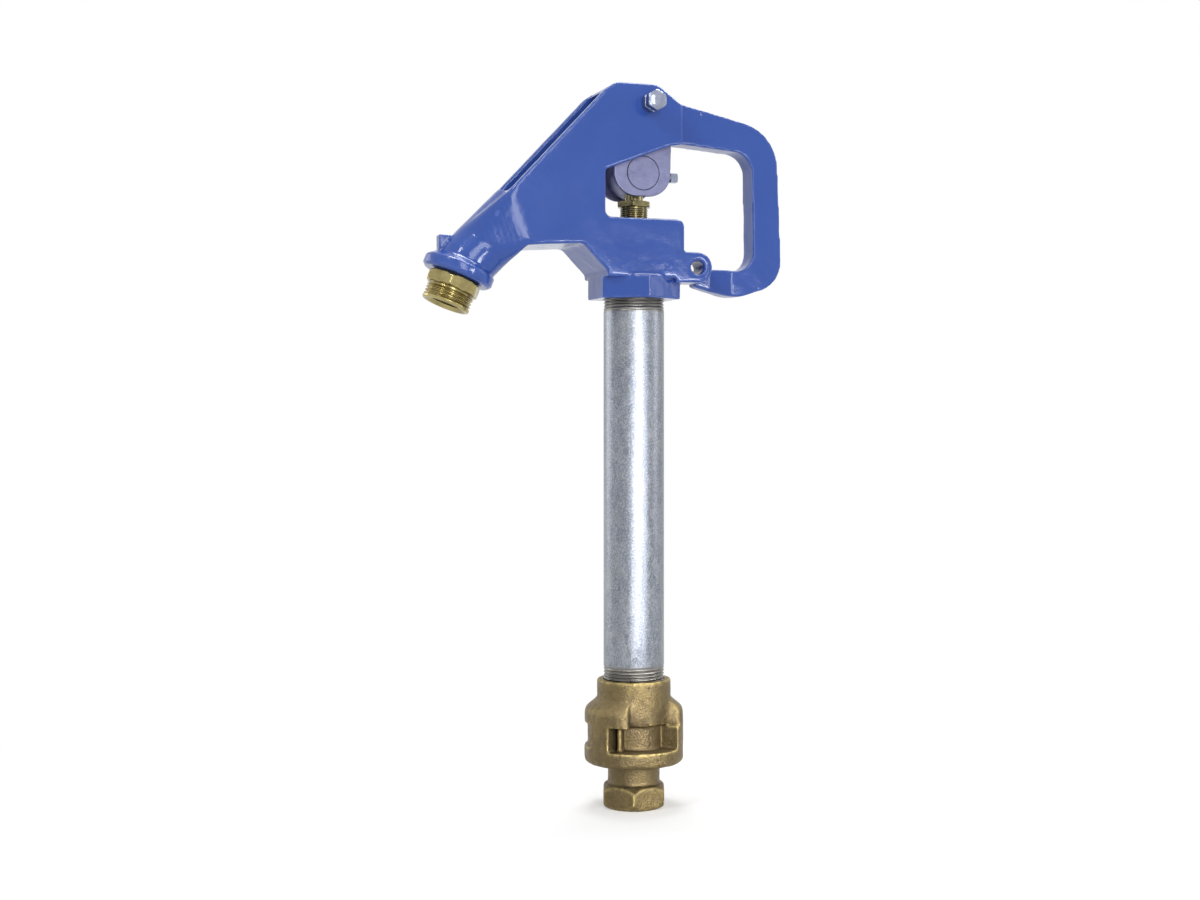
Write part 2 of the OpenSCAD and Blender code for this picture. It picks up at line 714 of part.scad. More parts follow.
module plunger_body() {
    color(brass) difference() {
        union() {
            translate([0, 0, piston_bottom]) cylinder(r = piston_r, h = piston_len);
            translate([0, 0, piston_bottom - boss_h]) cylinder(r = 6.5, h = boss_h + 1);
        }
        for (z = [piston_bottom + seal_inset, piston_top - seal_inset])
            tube(z - seal_w / 2, seal_w, piston_r + 1, piston_r - seal_depth);
        // Water passages through the piston
        for (a = [0:60:300]) rotate(a) translate([10, 0, piston_bottom - 1])
            cylinder(r = 2.5, h = piston_len + 2);
        translate([0, 0, piston_bottom - boss_h - 1]) cylinder(r = screw_r + seat_gap, h = 20);
        translate([0, 0, rod_bottom - 0.5]) cylinder(r = rod_r + seat_gap, h = piston_len);
    }
}

module plunger_seals() {
    color(rubber) for (z = [piston_bottom + seal_inset, piston_top - seal_inset])
        translate([0, 0, z]) rotate_extrude() translate([piston_r - seal_depth + 0.85, 0])
            circle(r = 0.8, $fn = 32);
}

module plunger_rubber() {
    color(rubber) tube(seat_top + seat_gap, rubber_h, rubber_r, screw_r + seat_gap);
}

module plunger_washer() {
    color(brass) tube(seat_top + seat_gap - 1.6, 1.6, 6, screw_r + seat_gap);
}

module plunger_screw() {
    z = seat_top + seat_gap - 1.6;
    color(brass) {
        translate([0, 0, z - 0.5]) cylinder(r = screw_r, h = screw_len + 0.5);
        hex_bar(z - 3.4, 3.4, 7.5);
    }
}

module plunger_lock_nut() {
    color(brass) difference() {
        hex_bar(piston_top, 5.5, 14.3);
        translate([0, 0, piston_top - 1]) cylinder(r = rod_r + seat_gap, h = 8);
    }
}

head_casting();
lever();
lever_bush();
pivot_bolt();
pivot_jam_nut();
pivot_lock_washer();
pivot_rear_washer();
pivot_rear_nut();
link_plate_front();
link_plate_rear();
link_pin();
crosshead();
crosshead_set_screw();
operating_stem();
rod_coupling();
pull_rod();
packing_nut();
packing_rings();
packing_washer();
hose_nozzle();
nozzle_gasket();
riser_pipe();
valve_body();
valve_seat();
plunger_body();
plunger_seals();
plunger_rubber();
plunger_washer();
plunger_screw();
plunger_lock_nut();
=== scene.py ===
# %% [markdown]
# # A lever-operated garden standpipe
#
# The model comes as a fixed frame of solids, in metres, with +Z up and the origin under the riser. This
# lesson dresses it: the castings get the rounded edges that a sand mould leaves, the turned parts get real
# threads and chamfers, and every metal gets its own surface. First the frame is loaded.

# %% Load the frame
import math

import bmesh
import bpy
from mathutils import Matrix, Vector, noise
from mathutils.bvhtree import BVHTree


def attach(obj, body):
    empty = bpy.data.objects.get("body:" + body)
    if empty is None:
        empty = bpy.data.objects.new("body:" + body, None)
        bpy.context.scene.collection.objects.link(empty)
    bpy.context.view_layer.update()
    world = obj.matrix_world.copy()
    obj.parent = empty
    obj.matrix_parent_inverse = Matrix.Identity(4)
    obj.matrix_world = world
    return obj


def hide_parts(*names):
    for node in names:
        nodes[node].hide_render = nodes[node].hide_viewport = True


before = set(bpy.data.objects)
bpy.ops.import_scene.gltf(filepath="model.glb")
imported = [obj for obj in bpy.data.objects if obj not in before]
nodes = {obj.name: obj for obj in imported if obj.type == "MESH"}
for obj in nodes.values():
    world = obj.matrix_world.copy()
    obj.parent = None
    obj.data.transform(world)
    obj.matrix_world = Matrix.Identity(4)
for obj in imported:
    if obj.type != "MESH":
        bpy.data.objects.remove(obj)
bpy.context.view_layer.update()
scene = bpy.context.scene

# %% [markdown]
# ## The camera
#
# The photographer stood a little to the left, 1.2 m away, and held the camera level at the height of the
# riser's middle. A level camera keeps the riser upright in the picture, and a small lens shift moves the
# picture instead of tilting it. The lens follows from how large the riser looks at that distance.

# %% Place the camera
PHOTO_WIDTH = 1200
PHOTO_HEIGHT = 900
RISER_COLUMN = 633.8
HORIZON_ROW = 410.0
FOCAL_PIXELS = 1721.0
SENSOR_WIDTH = 36
CAMERA_TURN = math.radians(20)
CAMERA_DISTANCE = 1.2
CAMERA_HEIGHT = 0.2757

camera_data = bpy.data.cameras.new("photo_camera")
camera = bpy.data.objects.new("photo_camera", camera_data)
scene.collection.objects.link(camera)
camera.location = (-CAMERA_DISTANCE * math.sin(CAMERA_TURN),
                   -CAMERA_DISTANCE * math.cos(CAMERA_TURN), CAMERA_HEIGHT)
camera.rotation_euler = (math.pi / 2, 0, -CAMERA_TURN)
camera_data.sensor_width = SENSOR_WIDTH
camera_data.lens = SENSOR_WIDTH * FOCAL_PIXELS / PHOTO_WIDTH
camera_data.shift_x = (PHOTO_WIDTH / 2 - RISER_COLUMN) / PHOTO_WIDTH
camera_data.shift_y = (HORIZON_ROW - PHOTO_HEIGHT / 2) / PHOTO_WIDTH
camera_data.clip_start = 0.05
camera_data.clip_end = 50
scene.camera = camera
print("lens:", round(camera_data.lens, 1), "mm")

# %% [markdown]
# ## A white room
#
# The object stands on a white ground in front of a white wall. The world lights it at half strength, and the
# camera and the reflections see it at full strength, which is white. The view transform stays plain, so a
# colour that is written as blue comes out as that blue.

# %% The world
scene.view_settings.view_transform = "Standard"


def add(tree, kind, **values):
    """A shader node, with the values of its inputs or settings."""
    node = tree.nodes.new(kind)
    for key, value in values.items():
        if hasattr(node, key):
            setattr(node, key, value)
        else:
            node.inputs[key.replace("_", " ")].default_value = value
    return node


def join(tree, value, socket):
    """A link, or a plain value, into a socket."""
    if isinstance(value, bpy.types.NodeSocket):
        tree.links.new(value, socket)
    else:
        socket.default_value = value


def calc(tree, operation, first, second=0.0, kind="ShaderNodeMath"):
    node = add(tree, kind, operation=operation)
    join(tree, first, node.inputs[0])
    join(tree, second, node.inputs[1])
    return node.outputs[0]


def mix_shaders(tree, share, first, second):
    node = add(tree, "ShaderNodeMixShader")
    join(tree, share, node.inputs["Fac"])
    join(tree, first, node.inputs[1])
    join(tree, second, node.inputs[2])
    return node.outputs[0]


def white_to_eyes(tree):
    """1 for camera, glossy and transmission rays, and 0 for the light that falls on things."""
    rays = add(tree, "ShaderNodeLightPath").outputs
    eyes = calc(tree, "MAXIMUM", rays["Is Camera Ray"], rays["Is Glossy Ray"])
    return calc(tree, "MAXIMUM", eyes, rays["Is Transmission Ray"])


def white_world():
    world = bpy.data.worlds.new("white_room")
    scene.world = world
    world.use_nodes = True
    tree = world.node_tree
    tree.nodes.clear()
    light = add(tree, "ShaderNodeBackground", Color=(1, 1, 1, 1), Strength=0.5)
    seen = add(tree, "ShaderNodeBackground", Color=(1, 1, 1, 1), Strength=1.0)
    out = add(tree, "ShaderNodeOutputWorld")
    both = mix_shaders(tree, white_to_eyes(tree), light.outputs[0], seen.outputs[0])
    join(tree, both, out.inputs["Surface"])


white_world()
print("world:", scene.world.name)

# %% [markdown]
# ## The lamps
#
# A tall soft box in front lights the faces that the camera sees. A small key high on the left, a weak box on
# the right and one above model the form: a small bright box leaves a crisp streak on glossy enamel, while its
# shadow on the ground is still soft. Metal and gloss also need something to mirror, so white cards stand in
# front, overhead and at the back. They show in reflections alone and add no light of their own. A
# photographer flags a card so that one thing mirrors it and its neighbour doesn't. Light linking does the
# same here: the pipe, the valve and the enamel have a card each in front, and the pieces are named later.

# %% Soft boxes and cards
AIM = Vector((0, 0, 0.3))


def soft_box(name, place, size, watts, card=False):
    data = bpy.data.lights.new(name, "AREA")
    data.shape = "RECTANGLE"
    data.size = size[0]
    data.size_y = size[1]
    data.energy = watts
    lamp = bpy.data.objects.new(name, data)
    scene.collection.objects.link(lamp)
    lamp.location = place
    aim = AIM - Vector(place)
    lamp.rotation_mode = "QUATERNION"
    lamp.rotation_quaternion = aim.to_track_quat("-Z", "Y")
    lamp.visible_diffuse = not card
    lamp.visible_camera = False
    return lamp


soft_box("front", (-0.05, -2.0, 0.75), (0.6, 1.2), 16)
soft_box("key", (-1.3, -1.0, 1.7), (0.3, 0.3), 8)
soft_box("side", (1.8, -0.6, 0.7), (0.6, 1.2), 4)
soft_box("top", (0.1, 0.3, 2.1), (0.6, 0.6), 13)
pipe_card = soft_box("pipe_card", (0.0, -0.6, 0.2), (0.62, 0.37), 3.0, card=True)
valve_card = soft_box("valve_card", (0.06, -0.5, 0.16), (0.16, 0.26), 3.0, card=True)
enamel_card = soft_box("enamel_card", (0.21, -0.6, 0.345), (0.16, 0.07), 0.9, card=True)
soft_box("left_top_card", (-0.55, -0.6, 1.9), (0.5, 0.5), 6, card=True)
soft_box("right_top_card", (0.55, -0.15, 1.9), (1.0, 1.6), 60, card=True)
soft_box("rim_card", (-1.5, 1.4, 0.5), (1.0, 1.6), 9, card=True)

# %% [markdown]
# ## The ground
#
# The ground is white far away and catches the object's soft shadow near it. Near the riser a plain white
# surface shows the shadow, with a little glow that lifts it to white where the lamps reach it. Further out it
# turns into even white, which meets the wall without a horizon.

# %% Ground
SHADOW_NEAR = 0.12
SHADOW_FAR = 0.55


def length_of(tree, vector):
    node = add(tree, "ShaderNodeVectorMath", operation="LENGTH")
    join(tree, vector, node.inputs[0])
    return node.outputs["Value"]


def ground_material():
    material = bpy.data.materials.new("white_ground")
    material.use_nodes = True
    tree = material.node_tree
    tree.nodes.clear()
    eyes = white_to_eyes(tree)
    matt = add(tree, "ShaderNodeBsdfDiffuse", Color=(0.82, 0.82, 0.82, 1))
    glow = add(tree, "ShaderNodeEmission", Color=(1, 1, 1, 1), Strength=0.3)
    dark = add(tree, "ShaderNodeEmission", Color=(0, 0, 0, 1), Strength=0.0)
    near = add(tree, "ShaderNodeAddShader")
    join(tree, matt.outputs[0], near.inputs[0])
    join(tree, mix_shaders(tree, eyes, dark.outputs[0], glow.outputs[0]), near.inputs[1])
    white = add(tree, "ShaderNodeEmission", Color=(1, 1, 1, 1), Strength=1.0)
    fade = add(tree, "ShaderNodeMapRange", interpolation_type="SMOOTHSTEP",
               From_Min=SHADOW_NEAR, From_Max=SHADOW_FAR)
    place = add(tree, "ShaderNodeTexCoord").outputs["Object"]
    join(tree, length_of(tree, place), fade.inputs["Value"])
    far = calc(tree, "MULTIPLY", fade.outputs[0], eyes)
    out = add(tree, "ShaderNodeOutputMaterial")
    join(tree, mix_shaders(tree, far, near.outputs[0], white.outputs[0]), out.inputs["Surface"])
    return material


bpy.ops.mesh.primitive_plane_add(size=8, location=(0, 0, 0))
ground = bpy.context.object
ground.name = "ground"
ground.data.materials.append(ground_material())
print("ground:", [round(v, 1) for v in ground.dimensions])

# %% [markdown]
# ## Sizes that the pieces share
#
# A few sizes come back in several pieces. They repeat the drawing's own values, in metres, so that a piece
# that stands for a drawn solid lies exactly where it lies.

# %% Shared sizes
MM = 0.001
SIDEWAYS = Vector((0, 1, 0))
HEAD_FOOT = 352.5 * MM
SLOT_HALF = 19.6 * MM
PIPE_RADIUS = 21.08 * MM
PIPE_BORE = 17.52 * MM
PIPE_PITCH = 2.209 * MM
BLOCK_TOP = HEAD_FOOT + 54.5 * MM
PIVOT = Vector((2.8 * MM, 0, BLOCK_TOP + 78.7 * MM))
CRANK_ARM = 18 * MM
CRANK_TURN = math.radians(-60)
CRANK_PIN = PIVOT + CRANK_ARM * Vector((math.cos(CRANK_TURN), 0, math.sin(CRANK_TURN)))
NOZZLE_MOUTH = Vector((-134.8 * MM, 0, HEAD_FOOT - 6.6 * MM))
NOZZLE_TILT = math.radians(22)
NOZZLE_AXIS = Vector((math.sin(NOZZLE_TILT), 0, math.cos(NOZZLE_TILT)))
SPOUT_MIDDLE = Vector((-96 * MM, 0, HEAD_FOOT + 46.5 * MM))
SPOUT_AXIS = Vector((1, 0, 1)).normalized()
CHEEK_END = Vector((-84 * MM, 0, HEAD_FOOT + 33.5 * MM))
CHEEK_END_OUTWARD = Vector((-35.8, 0, -13)).normalized()
CROSSHEAD = Vector((0, 0, 438.5 * MM))
print("pivot:", [round(v, 4) for v in PIVOT], "crank pin:", [round(v, 4) for v in CRANK_PIN])

# %% [markdown]
# ## How a casting gets its soft edges
#
# Molten metal doesn't fill a sharp corner of a sand mould, and the pattern maker rounds every corner anyway.
# A bevel on each edge could do that, but it breaks where many curved faces meet. Here the solid is rebuilt
# from small cubes of space, which gives an even net of faces, and the net is relaxed: outer corners sink and
# inner corners fill, as a mould does. A face that is machined afterwards, such as a bore or a thread, is then
# pulled back onto the drawn solid, so that its size stays true. Slow waves of a tenth of a millimetre make
# the flat faces look cast.

# %% Casting helpers
WAVE_LENGTH = 0.011


def apply_modifiers(piece):
    ready = bpy.context.evaluated_depsgraph_get()
    mesh = bpy.data.meshes.new_from_object(piece.evaluated_get(ready))
    piece.modifiers.clear()
    piece.data = mesh


def welded_copy(name, node):
    mesh = nodes[node].data.copy()
    mesh.materials.clear()
    work = bmesh.new()
    work.from_mesh(mesh)
    bmesh.ops.remove_doubles(work, verts=work.verts, dist=1e-6)
    work.to_mesh(mesh)
    work.free()
    piece = bpy.data.objects.new(name, mesh)
    scene.collection.objects.link(piece)
    return piece


def off_axis(point, start, direction):
    """Distance of a point from a line."""
    away = point - start
    return (away - direction * away.dot(direction)).length


def relax_where(piece, amount_at, rounds):
    """Relaxes the net's depth, and not its outline, where amount_at(point) is above 0."""
    marked = piece.vertex_groups.new(name="relaxed")
    for vertex in piece.data.vertices:
        amount = amount_at(vertex.co)
        if amount > 0:
            marked.add([vertex.index], amount, "REPLACE")
    blend = piece.modifiers.new("blend", "SMOOTH")
    blend.factor = 0.6
    blend.iterations = rounds
    blend.use_x = False
    blend.use_z = False
    blend.vertex_group = marked.name
    apply_modifiers(piece)


def casting(name, node, body, cube, relax, waves, machined, share, blended=None, rounds=100):
    """A cast piece from a drawn solid, rebuilt from cubes, of which a share of the points is kept.
    machined(point) says how firmly a point stays on the solid, and blended(point) how much a place is
    relaxed for more rounds, where one form runs into another."""
    piece = welded_copy(name, node)
    drawn = BVHTree.FromObject(piece, bpy.context.evaluated_depsgraph_get())
    net = piece.modifiers.new("net", "REMESH")
    net.mode = "VOXEL"
    net.voxel_size = cube
    soften = piece.modifiers.new("soften", "SMOOTH")
    soften.factor = 0.5
    soften.iterations = relax
    apply_modifiers(piece)
    fine = len(piece.data.vertices)
    if blended:
        relax_where(piece, blended, rounds)
    places = [vertex.co.copy() for vertex in piece.data.vertices]
    outward = [vertex.normal.copy() for vertex in piece.data.vertices]
    flat = []
    for point, normal in zip(places, outward):
        hold = machined(point)
        if hold < 1:
            rise = noise.fractal(point / WAVE_LENGTH, 0.7, 2.0, 3)
            point = point + normal * rise * waves * (1 - hold)
        if hold > 0:
            point = point.lerp(drawn.find_nearest(point)[0], hold)
        flat.extend(point)
    piece.data.vertices.foreach_set("co", flat)
    piece.data.update()
    thin = piece.modifiers.new("thin", "DECIMATE")
    thin.ratio = share
    apply_modifiers(piece)
    for face in piece.data.polygons:
        face.use_smooth = True
    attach(piece, body)
    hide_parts(node)
    print(name, "points:", fine, "kept:", len(piece.data.vertices))
    return piece


print("crank arm:", round(off_axis(CRANK_PIN, PIVOT, SIDEWAYS) / MM, 2), "mm")

# %% [markdown]
# ## The head
#
# The head is one iron casting: two cheeks with a slot between them, the spout, the square block over the
# riser, the hexagon for the wrench and the padlock lug. Four places are machined: the riser's socket, the
# packing's bore, the pivot's hole and the nozzle's thread. The slot's faces stay even, because the link
# plates pass them closely.

# %% Head
SOCKET_REACH = 22 * MM
SOCKET_DEPTH = 19 * MM
PACKING_REACH = 11 * MM
PACKING_DEPTH = 22 * MM
BOLT_HOLE_REACH = 4.8 * MM
NOZZLE_HOLE_REACH = 15.2 * MM
NOZZLE_HOLE_DEPTH = 33 * MM
COLLAR_REACH = 17 * MM
COLLAR_DEPTH = 31 * MM
SLOT_END = -95 * MM


def head_machined(point):
    """1 where the head is machined, and less where it only has to stay even."""
    from_riser = math.hypot(point.x, point.y)
    if from_riser < SOCKET_REACH and point.z < HEAD_FOOT + SOCKET_DEPTH:
        return 1.0
    if from_riser < PACKING_REACH and BLOCK_TOP - PACKING_DEPTH < point.z < BLOCK_TOP + 1 * MM:
        return 1.0
    if off_axis(point, PIVOT, SIDEWAYS) < BOLT_HOLE_REACH:
        return 1.0
    along = (point - NOZZLE_MOUTH).dot(NOZZLE_AXIS)
    from_nozzle = off_axis(point, NOZZLE_MOUTH, NOZZLE_AXIS)
    if from_nozzle < NOZZLE_HOLE_REACH and along < NOZZLE_HOLE_DEPTH:
        return 1.0
    if from_nozzle > COLLAR_REACH and along < COLLAR_DEPTH and abs(point.y) > 5 * MM:
        return 0.9
    if abs(point.y) < SLOT_HALF + 0.3 * MM and point.z > BLOCK_TOP + 6 * MM and point.x > SLOT_END:
        return 0.5
    return 0.0


BLOCK_REACH = 31 * MM
DUCT_REACH = 15 * MM
BLEND_MIDDLE = 9 * MM
BLEND_REACH = 15 * MM


def spout_blend(point):
    """The stretch where the flat cheeks run out into the round spout, and the rounded top of the block."""
    if abs(point.y) < SLOT_HALF * 0.85 and point.z > BLOCK_TOP - 6 * MM:
        return 0.0
    if abs(point.z - BLOCK_TOP) < 4 * MM and abs(point.x) < BLOCK_REACH and abs(point.y) > 20 * MM:
        return 0.3
    if off_axis(point, SPOUT_MIDDLE, SPOUT_AXIS) < DUCT_REACH:
        return 0.0
    past_cheek = (point - CHEEK_END).dot(CHEEK_END_OUTWARD)
    middle = 1 - abs(past_cheek - BLEND_MIDDLE) / BLEND_REACH
    return max(0.0, min(1.0, 2.2 * middle))


head = casting("head", "head_casting", "standpipe", cube=0.85 * MM, relax=6,
               waves=0.12 * MM, machined=head_machined, share=0.34, blended=spout_blend)

# %% [markdown]
# ## The lever
#
# The D-shaped handle and its hub are one casting too. The bores for the bush and for the link pin are
# machined, and so is the boss that turns between the cheeks.

# %% Lever
BOSS_REACH = 8.8 * MM
BUSH_REACH = 6.2 * MM
PIN_HOLE_REACH = 4.8 * MM


def lever_machined(point):
    from_pivot = off_axis(point, PIVOT, SIDEWAYS)
    if from_pivot < BUSH_REACH or (from_pivot < BOSS_REACH and abs(point.y) > 13 * MM):
        return 1.0
    if off_axis(point, CRANK_PIN, SIDEWAYS) < PIN_HOLE_REACH:
        return 1.0
    return 0.0


handle = casting("handle", "lever", "lever", cube=0.9 * MM, relax=7,
                 waves=0.14 * MM, machined=lever_machined, share=0.34)

# %% [markdown]
# ## The valve body
#
# The foot valve is cast in brass, and its skin is left as the sand made it, so its waves are the strongest.
# Inside, the inlet's thread, the seat's pocket, the plunger's bore and the riser's socket are machined. Over
# each window the collar stands clear of the cage. On the real one no hard edge shows there, so the steps at
# the ends of that recess are relaxed into slopes.

# %% Valve body
VALVE_SOCKET_FOOT = 70 * MM
VALVE_SOCKET_REACH = 21.9 * MM
VALVE_BORE_REACH = 16.8 * MM
CAGE_REACH = 24 * MM
COLLAR_TOP = 77 * MM
WINDOW_TOP = 59 * MM
# In degrees, seen from above
RECESS_ENDS = (64, 138)
RECESS_REACH = 32
RECESS_FADE = 8


def valve_machined(point):
    from_riser = math.hypot(point.x, point.y)
    if point.z > VALVE_SOCKET_FOOT and from_riser < VALVE_SOCKET_REACH:
        return 1.0
    if from_riser < VALVE_BORE_REACH or point.z < 0.6 * MM:
        return 1.0
    return 0.0


def recess_blend(point):
    """The steps at the ends of the recess over each window, which the pattern's draft makes slopes."""
    turn = math.degrees(math.atan2(point.y, point.x)) % 180
    from_step = min(abs(turn - step) for step in RECESS_ENDS)
    if math.hypot(point.x, point.y) < CAGE_REACH or point.z > COLLAR_TOP:
        return 0.0
    above_window = (point.z - WINDOW_TOP) / (2 * MM)
    return max(0.0, min(1.0, (RECESS_REACH - from_step) / RECESS_FADE, above_window))


valve = casting("foot_valve", "valve_body", "standpipe", cube=0.8 * MM, relax=7,
                waves=0.17 * MM, machined=valve_machined, share=0.4, blended=recess_blend, rounds=400)

# %% [markdown]
# ## The link plates
#
# The two plates are stamped from steel sheet and tumbled, which rounds their edges a little. Their round foot
# lies about the crosshead's end, and round the rounded edge of its hole the finish paints a thin dark ring, a
# painted shade of the gap. The same helper makes them: halfway through the sheet the outline stays on the
# drawn solid, and only the edges relax.

# %% Link plates
SHEET_MIDDLE = (17.2 * MM, 18.8 * MM)


def plate_outline(point):
    return 1.0 if SHEET_MIDDLE[0] < abs(point.y) < SHEET_MIDDLE[1] else 0.0


links = []
for name, node in (("front_link", "link_plate_front"), ("rear_link", "link_plate_rear")):
    links.append(casting(name, node, "link", cube=0.4 * MM, relax=4, waves=0.02 * MM,
                         machined=plate_outline, share=0.5))

# %% [markdown]
# ## How a turned piece is made
#
# A lathe makes a round piece from its outline, and a mill cuts the flats. The helper below does the same:
# each row is a height and a radius, and the radius may depend on the direction, for a hexagon or for a screw
# thread. Rows go up the outside and come back down the bore. A real thread is one groove that winds up, so
# its radius depends on height and direction together, and it fades out where the die stopped.

# %% Lathe helpers
ROUND_STEPS = 96
BLUNT_CORNER = 0.985
CREST = 1.35
SHARP_EDGE = math.radians(34)


def flats(width, radius, corner, sides=6):
    """Radius of a hexagon or a square of that width, turned down to radius, by direction."""
    share = 2 * math.pi / sides
    blunt = BLUNT_CORNER * width / 2 / math.cos(share / 2)

    def at(angle):
        off = (angle - corner) % share - share / 2
        return min(radius, blunt, width / 2 / math.cos(off))

    return at


def rows_at(height, radius, *pairs):
    """Rows near a height and a radius. Each pair is how far above and how far out, in millimetres."""
    return [(height + rise * MM, radius + out * MM) for rise, out in pairs]


def thread(start, end, radius, depth, pitch, run_in=0.0, run_out=0.0, steps=9):
    """Rows of a screw thread from start to end. It fades in and out over these lengths."""
    rows = []
    count = max(2, round((end - start) / pitch * steps))
    for i in range(count + 1):
        height = start + (end - start) * i / count
        fade = 1.0
        if run_in:
            fade = min(fade, (height - start) / run_in)
        if run_out:
            fade = min(fade, (end - height) / run_out)
        fade = max(0.0, fade)

        def at(angle, height=height, fade=fade):
            turn = (height / pitch - angle / (2 * math.pi)) % 1.0
            groove = min(1.0, CREST * (1 - abs(2 * turn - 1)))
            return radius - depth * fade * groove

        rows.append((height, at))
    return rows


def turned(name, node, body, rows, place=(0, 0, 0), axis=(0, 0, 1), solid=False, corner=0.0):
    """A turned piece. Each row is (height, radius or a function of the direction)."""
    mesh = bpy.data.meshes.new(name)
    turn = Vector((0, 0, 1)).rotation_difference(Vector(axis))
    start = Vector(place)
    points = []
    along = []
    for height, radius in rows:
        for step in range(ROUND_STEPS):
            angle = corner + 2 * math.pi * step / ROUND_STEPS
            reach = radius(angle) if callable(radius) else radius
            local = Vector((reach * math.cos(angle), reach * math.sin(angle), height))
            points.append(start + turn @ local)
            along.append(height)
    faces = []
    last = len(rows) - 1 if solid else len(rows)
    for row in range(last):
        low = row * ROUND_STEPS
        high = (row + 1) % len(rows) * ROUND_STEPS
        for step in range(ROUND_STEPS):
            beside = (step + 1) % ROUND_STEPS
            faces.append((low + step, low + beside, high + beside, high + step))
    if solid:
        faces.append(tuple(reversed(range(ROUND_STEPS))))
        faces.append(tuple(range((len(rows) - 1) * ROUND_STEPS, len(rows) * ROUND_STEPS)))
    mesh.from_pydata(points, [], faces)
    mesh.attributes.new("along", "FLOAT", "POINT").data.foreach_set("value", along)
    for face in mesh.polygons:
        face.use_smooth = True
    mesh.set_sharp_from_angle(angle=SHARP_EDGE)
    mesh.validate()
    piece = bpy.data.objects.new(name, mesh)
    scene.collection.objects.link(piece)
    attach(piece, body)
    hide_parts(node)
    print(name, "rows:", len(rows), "faces:", len(mesh.polygons))
    return piece


print("corner of a 12 mm hexagon:", round(flats(12 * MM, 1.0, 0.0)(0.0) / MM, 2), "mm from its middle")

# %% [markdown]
# ## The riser
#
# The riser is a length of galvanised pipe. Both ends are cut with a taper thread after the zinc bath, so the
# thread is bare steel, and its last turns run out shallow on the pipe.

# %% Riser
RISER_FOOT = 71 * MM
RISER_TOP = HEAD_FOOT + 18 * MM
LOW_THREAD_END = 99.5 * MM
HIGH_THREAD_START = HEAD_FOOT - 9 * MM
PIPE_GROOVE = 0.95 * MM
TAPER_RUN = 5.5 * MM
low_thread = thread(RISER_FOOT + 1 * MM, LOW_THREAD_END, PIPE_RADIUS, PIPE_GROOVE, PIPE_PITCH,
                    run_out=TAPER_RUN)
high_thread = thread(HIGH_THREAD_START, RISER_TOP - 0.5 * MM, PIPE_RADIUS, PIPE_GROOVE, PIPE_PITCH,
                     run_in=TAPER_RUN)
plain_rows = [(z * 20 * MM, PIPE_RADIUS) for z in range(6, 17)]
riser_rows = rows_at(RISER_FOOT, PIPE_RADIUS, (0, -1.2)) + low_thread + plain_rows + high_thread
riser_rows += rows_at(RISER_TOP, PIPE_RADIUS, (0, -1))
riser_rows += rows_at(RISER_TOP, PIPE_BORE, (0, 0.5), (-0.8, 0))
riser_rows += rows_at(RISER_FOOT, PIPE_BORE, (0.8, 0), (0, 0.5))
riser = turned("riser", "riser_pipe", "standpipe", riser_rows)

# %% [markdown]
# ## The hose nozzle
#
# The nozzle is turned from brass bar. From its mouth up it has a plain lead, the hose thread, a neck and a
# hexagon whose corners are turned down at both ends, and a tail that screws into the spout. A hexagon bar's
# corners look like arcs after the lathe has chamfered them, which the row heights below follow closely.

# %% Hose nozzle
HOSE_RADIUS = 16.45 * MM
HEX_FOOT = 11.5 * MM
HEX_TOP = 19.5 * MM
NOZZLE_BORE = 11.5 * MM
NOZZLE_CORNER = math.radians(10)
HOSE_PITCH = 2.209 * MM
CORNER_ROWS = 6


def chamfered_hex(foot, top, width, corner, drop, sides=6, foot_cut=True, top_cut=True):
    """Rows of a hexagon between two heights, its corners turned down over the height drop."""
    tip = width / 2 / math.cos(math.pi / sides)
    face = width / 2 - 0.25 * MM

    def end_rows(end, inward, cut):
        """Rows from one end towards the middle. An end that isn't cut keeps its full corners."""
        rows = []
        for i in range(CORNER_ROWS + 1):
            share = i / CORNER_ROWS
            lift = drop * share if cut else 0.02 * drop * share
            radius = face + (tip - face) * math.sqrt(share) if cut else tip
            rows.append((end + inward * lift, flats(width, radius, corner, sides)))
        return rows

    return end_rows(foot, 1, foot_cut) + end_rows(top, -1, top_cut)[::-1]


nozzle_rows = rows_at(0, NOZZLE_BORE, (0.15, 2.6), (0, 3.0))
nozzle_rows += rows_at(0, HOSE_RADIUS, (0, -0.9), (0.3, -0.4), (0.9, 0))
nozzle_rows += thread(2.0 * MM, 9.6 * MM, HOSE_RADIUS, 1.25 * MM, HOSE_PITCH, run_in=1.2 * MM,
                      run_out=0.6 * MM)
nozzle_rows += rows_at(HEX_FOOT, HOSE_RADIUS, (-1.6, -1.1), (-0.4, -1.2), (0, -0.9))
nozzle_rows += chamfered_hex(HEX_FOOT, HEX_TOP, 34 * MM, NOZZLE_CORNER, 1.9 * MM)
nozzle_rows += rows_at(HEX_TOP, NOZZLE_BORE, (0, 3.0), (9.4, 2.9), (9.4, 0.4), (9, 0))
nozzle_rows += rows_at(0, NOZZLE_BORE, (2.4, 0), (1.2, 1.3))
nozzle = turned("nozzle", "hose_nozzle", "standpipe", nozzle_rows,
                place=NOZZLE_MOUTH, axis=NOZZLE_AXIS, corner=NOZZLE_CORNER)

# %% [markdown]
# ## The packing nut
#
# The packing nut presses the rings round the stem. Its thin hexagon is chamfered above and below, and the
# thread under it goes down into the block.

